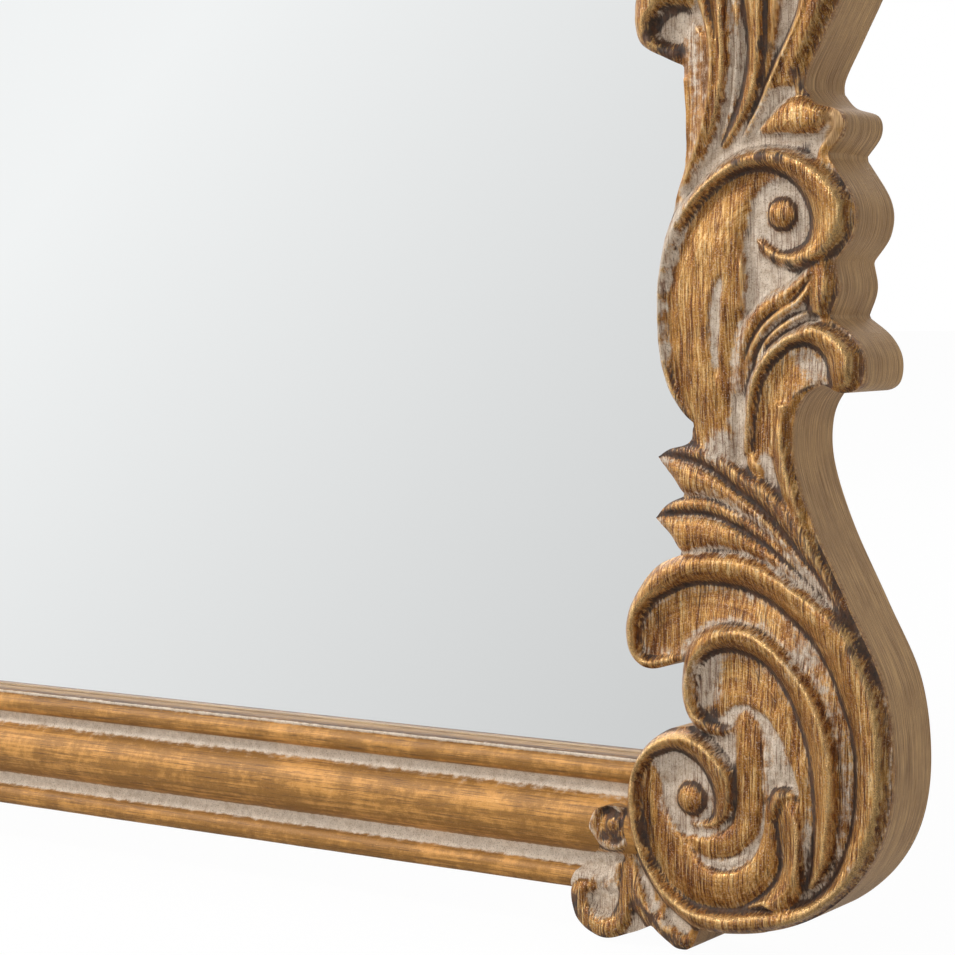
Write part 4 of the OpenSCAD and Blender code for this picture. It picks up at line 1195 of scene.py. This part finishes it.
    def sample(self, name, x, z):
        """A layer's values at some places, worked out from the four cells round each."""
        column, row = self.cells(x, z)
        column, row = np.clip(column, 0, self.COLUMNS - 1.001), np.clip(row, 0, self.ROWS - 1.001)
        i, j = row.astype(int), column.astype(int)
        a, b = row - i, column - j
        layer = self.layers[name]
        return (
            layer[i, j] * (1 - a) * (1 - b) + layer[i + 1, j] * a * (1 - b)
            + layer[i, j + 1] * (1 - a) * b + layer[i + 1, j + 1] * a * b
        )

    def cut(self, path, width, depth, wax, glaze):
        """Cuts a groove along a path."""
        line = spline(path, 10)
        line = np.stack(sight_line(*line.T, self.sample("height", *line.T)), 1)
        rows, columns = self.window(line, width)
        x, z = np.meshgrid(self.x[columns], self.z[rows])
        gaps = np.hypot(x[..., None] - line[:, 0], z[..., None] - line[:, 1])
        taper = np.sin(np.pi * np.clip(np.argmin(gaps, axis=-1) / (len(line) - 1), 0.02, 0.98)) ** 0.6
        amount = np.clip(1 - (2 * gaps.min(axis=-1) / (width * taper)) ** 2, 0, 1)
        self.layers["height"][rows, columns] -= depth * amount**0.7
        for name, value in (("wax", wax), ("glaze", glaze)):
            part = self.layers[name][rows, columns]
            part[:] = np.maximum(part, value * smoothstep(amount * 2)) * (1 if value else 1 - 0.8 * amount)

    def touch(self, mark, x, z, radius, amount):
        """Adds a soft patch of wax, glaze or brushed finish. Some wax patches are painted highlights and some
        glaze patches painted shade.
        """
        height = self.sample("height", np.array([x]), np.array([z]))[0]
        x, z = (float(c) for c in sight_line(x, z, height))
        rows, columns = self.window(np.array([[x, z]]), 2 * radius)
        amount *= np.exp(-((self.x[columns] - x) ** 2 + ((self.z[rows] - z) ** 2)[:, None]) / radius**2)
        part = self.layers[mark][rows, columns]
        part[:] = np.maximum(part, amount)

    def settle(self):
        """Rounds the strips into each other, lets glaze and wax lie where the carving is hollow, and marks
        the crests for rubbed gold with a painted highlight.
        """
        layers = self.layers
        uneven = np.random.default_rng(11).normal(size=(self.ROWS, self.COLUMNS))
        height = softened(layers["height"], 1.1)
        # Waves of hand work, fine ones and broad ones, then the fall to the outline
        height += softened(uneven, 4) * 1.3 + softened(uneven, 12) * 4
        near_edge = np.clip(1 - softened(self.edge, 2) / 2.6, 0, 1)
        height -= near_edge**2 * np.where(self.x > -50, 2.6, 1)
        crease = softened(height, 3) - height
        hollow = softened(height, 14) - height
        more_glaze = np.clip(crease * 0.9 - 0.25, 0, 0.5)
        more_wax = np.clip(hollow * 0.2 - 0.12, 0, 0.35)
        layers["height"] = height
        # Crests: rubbed gold with a painted highlight
        layers["worn"] = np.clip(-crease * 1.4 - 0.15, 0, 1)
        layers["glaze"] = np.clip(softened(layers["glaze"], 1.2) + more_glaze, 0, 1)
        layers["wax"] = np.clip(softened(layers["wax"], 3) + more_wax, 0, 1)
        layers["tooling"] = np.clip(softened(layers["tooling"], 1.5) * 0.8 + 0.2, 0, 1)


def quarter_relief(rail, outlines):
    """The lower right quarter's relief."""
    relief = Relief()
    seed_step = 3.7
    for seed, band in enumerate(CARVING):
        relief.strip(band, seed * seed_step)
    for seed, (x, z, radius, foot) in enumerate(EYES):
        relief.eye(x, z, radius, foot, GRAINS["eye"] + seed)
    relief.close_gaps()
    relief.lay_ground(rail, outlines)
    for path, width, depth, wax, glaze in CUTS:
        relief.cut(path, width, depth, wax, glaze)
    for mark, patches in PATCHES.items():
        for patch in patches:
            relief.touch(mark, *patch)
    relief.settle()
    return relief


class Surface:
    """Points, faces and marks of a piece, gathered sheet by sheet, in millimetres."""

    def __init__(self):
        self.points, self.grain, self.faces, self.count = [], [], [], 0
        self.marks = {name: [] for name in MARKS}

    def add(self, points, grain, faces, **marks):
        self.faces += (np.asarray(faces) + self.count).tolist()
        self.points.append(points)
        self.grain.append(grain)
        for name in MARKS:
            self.marks[name].append(np.broadcast_to(marks.get(name, 0), len(points)).astype(float))
        self.count += len(points)

    def joined(self):
        marks = {name: np.concatenate(values) for name, values in self.marks.items()}
        return np.vstack(self.points), np.vstack(self.grain), self.faces, marks


def rows_of(*columns):
    """Rows of three numbers from three sets of them that are spread over the same places."""
    return np.stack(np.broadcast_arrays(*columns), -1).reshape(-1, 3)


def trimmed_grid(relief, outlines, edges, spacing):
    """A grid trimmed to some outlines: its places, its faces, and how far each place lies in a nook of the
    outlines, or below 0 on a bulge of them. Places just outside are moved to the nearest edge."""
    margin, nook = 2, 4.5
    x = np.arange(relief.LEFT + margin, relief.x[-1] - margin, spacing)
    z = np.arange(relief.LOW + margin, relief.z[-1] - margin, spacing)
    within = np.any([inside(outline, x, z) for outline in outlines], axis=0)
    index = np.arange(within.size).reshape(within.shape)
    low, high = slice(None, -1), slice(1, None)
    corners = [(low, low), (low, high), (high, high), (high, low)]
    kept = np.any([within[corner] for corner in corners], axis=0)
    quads = np.stack([index[corner][kept] for corner in corners], 1)
    used = np.unique(quads)
    places = np.stack(np.meshgrid(x, z), -1).reshape(-1, 2)[used]
    outside = ~within.ravel()[used]
    places[outside] = nearest_on(*edges, places[outside])[0]
    recess = softened(within.astype(float), nook / spacing).ravel()[used] - 0.5
    return places, np.searchsorted(used, quads), recess


def rim_of(faces, count):
    """The sides of some faces that no other face shares, given by their two points."""
    sides = np.concatenate([faces[:, [i, (i + 1) % 4]] for i in range(4)])
    first, second = sides.T
    return sides[~np.isin(first * count + second, second * count + first)]


def skin_of(relief, outlines, spacing, back, rebate, plate):
    """The relief's face and its side walls inside a set of outlines. The walls go down to the back, or inward
    of the rebate's corner to the plate."""
    edges = shown_edges(outlines)
    places, faces, recess = trimmed_grid(relief, outlines, edges, spacing)
    value = {name: relief.sample(name, *places.T) for name in relief.LAYERS}
    surface = Surface()
    surface.add(
        rows_of(*places.T, value["height"]), rows_of(value["u"], value["v"], value["seed"]), faces,
        **{name: value[name] for name in MARKS},
    )

    rim = rim_of(faces, len(places))
    top, level = np.unique(rim, return_inverse=True)
    first, second = level.reshape(rim.shape).T
    x, z = places[top].T
    head = value["height"][top]
    foot = np.where((x < rebate[0]) & (z > rebate[1]), plate, back)
    heights = head + (foot - head) * WALL_ROWS[:, None]
    along = nearest_on(*edges, places[top])[1]
    strips = [
        np.stack([second, first, first + len(top), second + len(top)], 1) + row * len(top)
        for row in range(len(WALL_ROWS) - 1)
    ]
    # Glaze lies along the lip, painted shade darkens the walls in the outline's nooks, and the brushed finish
    # is rubbed off the bulges, to these depths
    nook_depth, bulge_depth, lip_depth = 26, 14, 3
    below = head - heights
    # Painted shade in the nooks, carried by the glaze mark
    nook_shade = np.clip(recess[top] * 5 - 0.25, 0, 0.8) * fading(nook_depth, below)
    bulge = np.clip(-recess[top] * 3, 0, 0.45) * fading(bulge_depth, below)
    surface.add(
        rows_of(x, z, heights), rows_of(along, -heights, GRAINS["wall"]), np.vstack(strips), tooling=0.2,
        flank=(np.clip(below / 7, 0, 1) ** 0.6 * (1 - bulge)).ravel(),
        glaze=(nook_shade + 0.16 * fading(lip_depth, below)).ravel(),
    )
    return surface


def flat_face(outline, height, keep_out=None):
    """A triangulated flat face that looks at the wall inside an outline, less what is beyond keep_out's
    corner."""
    flat = bmesh.new()
    flat.faces.new([flat.verts.new((x, z, 0)) for x, z in outline])
    flat.normal_update()
    if keep_out:
        for place, across in (((keep_out[0], 0, 0), (1, 0, 0)), ((0, keep_out[1], 0), (0, 1, 0))):
            parts = flat.verts[:] + flat.edges[:] + flat.faces[:]
            bmesh.ops.bisect_plane(flat, geom=parts, plane_co=place, plane_no=across)
        middles = [(face, face.calc_center_median()) for face in flat.faces]
        cleared = [face for face, middle in middles if middle.x < keep_out[0] and middle.y > keep_out[1]]
        bmesh.ops.delete(flat, geom=cleared, context="FACES")
    bmesh.ops.triangulate(flat, faces=flat.faces[:])
    flat.normal_update()
    flat.verts.index_update()
    points = np.array([(v.co.x, v.co.y, height) for v in flat.verts])
    triangles = []
    for face in flat.faces:
        corners = [v.index for v in face.verts]
        triangles.append(corners[::-1] if face.normal.z > 0 else corners)
    flat.free()
    return points, triangles


def mesh_piece(name, points, faces, marks, grain, place):
    """A gilded mesh object in the frame's coordinates, with its marks kept at its points."""
    mesh = bpy.data.meshes.new(name)
    mesh.from_pydata(points.tolist(), [], faces)
    mesh.update()
    for key, values in marks.items():
        data = mesh.attributes.new(key, "FLOAT", "POINT").data
        data.foreach_set("value", np.ascontiguousarray(values, np.float32))
    for key, values in (("grain", grain), ("place", place)):
        data = mesh.attributes.new(key, "FLOAT_VECTOR", "POINT").data
        data.foreach_set("vector", np.ascontiguousarray(values, np.float32).ravel())
    mesh.shade_smooth()
    mesh.materials.append(bpy.data.materials["gilding"])
    piece = bpy.data.objects.new(name, mesh)
    bpy.context.scene.collection.objects.link(piece)
    return piece


def over_edge(sizes, depth):
    """A depth from the wall as a height over the carved edge, in millimetres."""
    return (depth - sizes.edge_depth) / MM


def moulding_section(sizes):
    """Section of the moulding from its sight edge outward: distance across, height, then wax and glaze."""
    plate, back = over_edge(sizes, sizes.plate_depth), over_edge(sizes, sizes.back_depth)
    rows = [
        (0, plate, 0.2, 0.5), (0, -8.6, 0.3, 0.6), (0.2, -7.8, 0.4, 0.65), (0.6, -7.4, 0.9, 0.1),
        (1.2, -7.4, 1, 0), (1.6, -8.0, 0.5, 0.15),
    ]

    def arc(middle, centre, radius, first, last, count, edges):
        """A bead. Its edges hold how far the wax comes up its first side and its second."""
        for angle in np.linspace(np.radians(first), np.radians(last), count):
            side = edges[0] if angle < np.pi / 2 else edges[1]
            foot = (1 - max(0, np.sin(angle))) ** 1.5
            across, height = middle - radius * np.cos(angle), centre + radius * np.sin(angle)
            rows.append((across, height, side * foot, 0.15 * foot**2))

    arc(6, -8.8, 4.3, 14, 166, 14, (0.5, 0.5))
    rows.extend([(10.6, -9.8, 0.95, 0.1), (12.4, -10.1, 1, 0), (14.2, -9.8, 0.95, 0.05)])
    arc(27, -12, 12, 16, 164, 34, (0.8, 0.35))
    rows.extend([(39.2, -9.4, 0.8, 0.2), (41.5, -9.9, 1, 0), (43.4, -9.6, 0.95, 0.1)])
    arc(49, -9.6, 4.6, 8, 168, 14, (0.7, 0.3))
    rows.extend([(MOULDING, -11.5, 0, 0.4), (MOULDING, -13, 0, 0), (MOULDING, back, 0, 0)])
    rows.extend([(REBATE, back, 0, 0), (REBATE, plate, 0, 0)])
    return np.array(rows)


def cut_back(section, across):
    """The section up to a distance from its sight edge, closed down to its back."""
    kept = section[: int(np.argmax(section[:, 0] > across))]
    back = section[-2, 1]
    return np.vstack([kept, [(kept[-1, 0], back, 0, 0)], section[-2:]])


class MIRROR_OT_gilding(bpy.types.Operator):
    """Make the gilded finish that the carving and the mouldings share"""

    bl_idname = "mirror.gilding"
    bl_label = "Gilding"

    def execute(self, context):
        gilding(context.scene.mirror_colours, context.scene.mirror_sizes)
        return {"FINISHED"}


class MIRROR_OT_carving(bpy.types.Operator):
    """Build the carved corners and scrolls, one piece for each quarter of the frame"""

    bl_idname = "mirror.carving"
    bl_label = "Carving"

    def execute(self, context):
        sizes = context.scene.mirror_sizes
        section = moulding_section(sizes)
        face = section[section[:, 1] > FACE_FLOOR]
        outlines = [outline_points(runs, 1.2) for runs in (OUTLINE, FOOT_OUTLINE)]
        relief = quarter_relief((face[:, 0], face[:, 1]), outlines)
        plate, back = over_edge(sizes, sizes.plate_depth), over_edge(sizes, sizes.back_depth)
        rebate = ((sizes.rebate_x - sizes.half_width) / MM, REBATE_LOW)
        surface = skin_of(relief, outlines, sizes.spacing / MM, back, rebate, plate - CLEARANCE)
        for outline, level, keep_out in zip(outlines, (back, back + CLEARANCE), (rebate, None)):
            flat, triangles = flat_face(outline, level, keep_out)
            surface.add(flat, flat * (1, 1, 0) + (0, 0, GRAINS["back"]), triangles, flank=1)
        self.rebate_walls(surface, rebate, back, plate)
        carved = surface.joined()
        for end in ("lower", "upper"):
            for side in ("right", "left"):
                piece = self.quarter(sizes, carved, end, side)
                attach(piece, BODY)
                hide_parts(f"{end}_corner_{side}", f"{end}_scroll_{side}")
        return {"FINISHED"}

    def rebate_walls(self, surface, rebate, back, plate):
        """Adds the two walls of the rebate, from the back of the timber to the plate."""
        x, low = rebate
        top, end = STILE_START + MARGIN, -TAIL_END - MARGIN
        corners = np.array([
            (x, low, back), (x, top, back), (x, top, plate), (x, low, plate),
            (end, low, back), (x, low, back), (x, low, plate), (end, low, plate),
        ])
        surface.add(corners, corners + (0, 0, GRAINS["rebate"]), [(0, 1, 2, 3), (4, 5, 6, 7)], flank=1)

    def quarter(self, sizes, carved, end, side):
        """The carving in its place: mirrored for the left side, and turned upside down for the upper end."""
        points, grain, faces, marks = carved
        upper, left = end == "upper", side == "left"
        placed = np.stack([
            (sizes.half_width + points[:, 0] * MM) * (-1 if left else 1),
            -(sizes.edge_depth + points[:, 2] * MM),
            sizes.height - points[:, 1] * MM if upper else points[:, 1] * MM,
        ], 1)
        if left != upper:
            faces = [face[::-1] for face in faces]
        shift = (0, 0, 50 * left + 90 * upper)
        return mesh_piece(f"carving_{end}_{side}", placed, faces, marks, grain + shift, points + shift)


class MIRROR_OT_mouldings(bpy.types.Operator):
    """Build the moulded rails and stiles that join the carved quarters"""

    bl_idname = "mirror.mouldings"
    bl_label = "Mouldings"

    def execute(self, context):
        sizes = context.scene.mirror_sizes
        section = moulding_section(sizes)
        tail = cut_back(section, TAIL_WIDTH)
        half, height = sizes.half_width / MM, sizes.height / MM
        rail_runs = [
            (section, RAIL_END - half, half - RAIL_END), (tail, half - RAIL_END, half - TAIL_END),
            (tail, TAIL_END - half, RAIL_END - half),
        ]
        stile_runs = [(section, STILE_START - height / 2, height / 2 - STILE_START)]
        rail = rail_runs, half - FOOT_END, RAIL_SIGHT
        stile = stile_runs, height / 2 - (CARVING_END + MARGIN), STILE_SIGHT
        for name, node, middle, outward, (runs, free, sight) in (
            ("moulding_bottom", "bottom_rail", (0, 0), (0, -1), rail),
            ("moulding_top", "top_rail", (0, height), (0, 1), rail),
            ("moulding_right", "stile_right", (half, height / 2), (1, 0), stile),
            ("moulding_left", "stile_left", (-half, height / 2), (-1, 0), stile),
        ):
            surface = Surface()
            places = []
            for part, first, last in runs:
                swept = self.sweep(part, first, last, free, middle, outward, sight)
                points, grain, place, faces, marks = swept
                surface.add(points, grain, faces, **marks)
                places.append(place)
            points, grain, faces, marks = surface.joined()
            depths = -(sizes.edge_depth / MM + points[:, 2])
            placed = np.stack([points[:, 0], depths, points[:, 1]], 1) * MM
            piece = mesh_piece(name, placed, faces, marks, grain, np.vstack(places))
            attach(piece, BODY)
            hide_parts(node)
        return {"FINISHED"}

    def sweep(self, section, first, last, free, middle, outward, sight):
        """The section swept along a rail or stile between two distances from its middle. Its back is a little
        lower than the carving's where that covers it, beyond the distance that is free."""
        out = np.array(outward, float)
        run = np.array([-out[1], out[0]])
        across, level, wax, glaze = section.T
        at = np.linspace(first, last, int((last - first) / 2.5) + 2)[:, None]
        plan = np.array(middle, float) + (across - sight)[:, None] * out
        x, z = plan[:, 0] + at * run[0], plan[:, 1] + at * run[1]
        flank = (level < FACE_FLOOR) | (across > MOULDING - 0.5)
        proud = (level > FACE_FLOOR) & (across > 0.5) & (across < MOULDING - 0.5)
        waves = 0.12 * np.sin(at / 23 + sight) + 0.08 * np.sin(at / 9.1 + 2)
        waves = waves + 0.05 * np.sin(at / 3.7 + across)
        height = level + waves * proud
        height += np.clip((np.abs(at) - free) / 3, 0, 0.8) * (level < level.min() + 0.1)
        index = np.arange(x.size).reshape(x.shape)
        index = np.hstack([index, index[:, :1]])
        a, b, c, d = index[:-1, :-1], index[1:, :-1], index[1:, 1:], index[:-1, 1:]
        faces = np.stack([a, d, c, b], -1).reshape(-1, 4)
        seed = GRAINS["moulding"] + sight + 7 * outward[0] + 3 * outward[1]
        around = travelled(section[:, :2])
        towards_end = smoothstep((np.abs(at) - 200) / 60)
        marks = {
            "wax": (wax * (1 + 0.15 * towards_end)).ravel(),
            "glaze": np.broadcast_to(glaze, x.shape).ravel(),
            "flank": np.broadcast_to(flank, x.shape).ravel(),
        }
        return rows_of(x, z, height), rows_of(at, around, seed), rows_of(around, at, seed), faces, marks


class MIRROR_OT_plate(bpy.types.Operator):
    """Finish the silvered plate"""

    bl_idname = "mirror.plate"
    bl_label = "Plate"

    def execute(self, context):
        plate = frame["nodes"]["mirror_glass"]
        plate.data.materials.clear()
        plate.data.materials.append(silvering())
        return {"FINISHED"}


class MIRROR_OT_fittings(bpy.types.Operator):
    """Finish the board, the packing, the tenons, the tabs and the hanging fittings"""

    bl_idname = "mirror.fittings"
    bl_label = "Back and Fittings"

    def execute(self, context):
        finishes = {slot: make() for slot, make in BACK_FINISHES.items()}
        for part in frame["record"]["subparts"]:
            if part["material_slot"] in finishes:
                mesh = frame["nodes"][part["node"]].data
                mesh.materials.clear()
                mesh.materials.append(finishes[part["material_slot"]])
        return {"FINISHED"}


class MIRROR_OT_stage(bpy.types.Operator):
    """Set the camera, the floor, the lamps and the surroundings"""

    bl_idname = "mirror.stage"
    bl_label = "Stage"

    def execute(self, context):
        scene = context.scene
        scene.view_settings.view_transform = "Standard"
        lens = bpy.data.cameras.new("camera")
        lens.lens, lens.sensor_width = 92.6, 36
        lens.clip_start, lens.clip_end = 0.05, 50
        camera = bpy.data.objects.new("camera", lens)
        scene.collection.objects.link(camera)
        # In degrees: up from looking straight down, rolled, and round to the right of the front
        tilt, lean, around = 86.28, 0.59, 34.97
        camera.location = (0.75658, -0.83302, 0.23918)
        camera.rotation_euler = [np.radians(angle) for angle in (tilt, lean, around)]
        scene.camera = camera
        self.floor(scene)
        self.surroundings(scene)
        self.lamps(scene)
        return {"FINISHED"}

    def floor(self, scene):
        """A white floor that keeps the frame's shadow and stays out of the plate."""
        reach, gap = 30, 0.002
        mesh = bpy.data.meshes.new("floor")
        corners = [(-reach, -reach, 0), (reach, -reach, 0), (reach, reach, 0), (-reach, reach, 0)]
        mesh.from_pydata(corners, [], [(0, 1, 2, 3)])
        g = finish_of("floor_white")
        seen = g.add("LightPath", output="Is Camera Ray")
        mirrored = g.add("LightPath", output="Is Glossy Ray")
        lit = g.add("BsdfPrincipled", values={"Base Color": (0.9, 0.9, 0.9, 1), "Roughness": 0.9})
        white = g.add("Emission", values={"Color": (1, 1, 1, 1), "Strength": 1})
        clear = g.add("BsdfTransparent")
        shown = g.add("MixShader", values={0: seen * 0.97, 1: lit, 2: white})
        shown = g.add("MixShader", values={0: mirrored, 1: shown, 2: clear})
        g.add("OutputMaterial", values={"Surface": shown})
        mesh.materials.append(g.owner)
        floor = bpy.data.objects.new("floor", mesh)
        floor.location.z = -gap
        scene.collection.objects.link(floor)

    def surroundings(self, scene):
        """A plain white room, a little darker towards the side that the plate shows."""
        world = bpy.data.worlds.new("surroundings")
        scene.world = world
        g = Graph(world)
        towards = g.add("TexCoord", output="Generated")
        x, y, z = (g.axis(towards, name) for name in "XYZ")
        shade = x * -0.3 + y * 0.185 + z * 0.3 + 0.885
        shade = g.add("Clamp", values={"Value": shade, "Min": 0.6, "Max": 0.98}) ** 2.2
        shade = shade * (1 - x.between(0.1, 0.6) * 0.75) * (1 - (z * -1).between(0.35, 0.7) * 0.6)
        soft = g.add("Background", values={"Color": (1, 0.99, 0.97, 1), "Strength": 0.4})
        mirrored = g.add("Background", values={"Color": (1, 1, 1, 1), "Strength": shade})
        white = g.add("Background", values={"Color": (1, 1, 1, 1), "Strength": 1})
        in_plate, seen = (g.add("LightPath", output=f"Is {ray} Ray") for ray in ("Glossy", "Camera"))
        shown = g.add("MixShader", values={0: in_plate, 1: soft, 2: mirrored})
        shown = g.add("MixShader", values={0: seen, 1: shown, 2: white})
        g.add("OutputWorld", values={"Surface": shown})

    def lamps(self, scene):
        """Square lamps, each by its place, what it points at, its width and its power."""
        for name, place, target, size, power in (
            ("key", (-1.7, -1.65, 2.1), (0.1, 0, 0.35), 0.8, 66),
            ("fill", (1.2, -2.4, 1.0), (0.2, 0, 0.3), 1.4, 17),
            ("back", (-0.4, 1.8, 2.2), (0, 0, 0.5), 1.6, 16),
        ):
            data = bpy.data.lights.new(name, "AREA")
            data.shape, data.size, data.energy = "SQUARE", size, power
            lamp = bpy.data.objects.new(name, data)
            scene.collection.objects.link(lamp)
            lamp.location = place
            lamp.rotation_mode = "QUATERNION"
            lamp.rotation_quaternion = (Vector(target) - Vector(place)).to_track_quat("-Z", "Y")


class MIRROR_PT_panel(bpy.types.Panel):
    """Sizes, colours and steps of the mirror"""

    bl_label = "Mirror"
    bl_space_type = "VIEW_3D"
    bl_region_type = "UI"
    bl_category = "Mirror"

    def draw(self, context):
        for group in (context.scene.mirror_sizes, context.scene.mirror_colours):
            column = self.layout.column(align=True)
            for name in group.__annotations__:
                column.prop(group, name)
        for step in STEPS:
            self.layout.operator(step.bl_idname)


STEPS = (
    MIRROR_OT_gilding, MIRROR_OT_carving, MIRROR_OT_mouldings, MIRROR_OT_plate, MIRROR_OT_fittings,
    MIRROR_OT_stage,
)
CLASSES = (MirrorSizes, MirrorColours, *STEPS, MIRROR_PT_panel)


def register():
    for cls in CLASSES:
        bpy.utils.register_class(cls)
    bpy.types.Scene.mirror_sizes = bpy.props.PointerProperty(type=MirrorSizes)
    bpy.types.Scene.mirror_colours = bpy.props.PointerProperty(type=MirrorColours)


def unregister():
    del bpy.types.Scene.mirror_colours
    del bpy.types.Scene.mirror_sizes
    for cls in reversed(CLASSES):
        bpy.utils.unregister_class(cls)


def main():
    register()
    for step in (
        bpy.ops.mirror.gilding, bpy.ops.mirror.carving, bpy.ops.mirror.mouldings, bpy.ops.mirror.plate,
        bpy.ops.mirror.fittings, bpy.ops.mirror.stage,
    ):
        step()


if __name__ == "__main__":
    main()
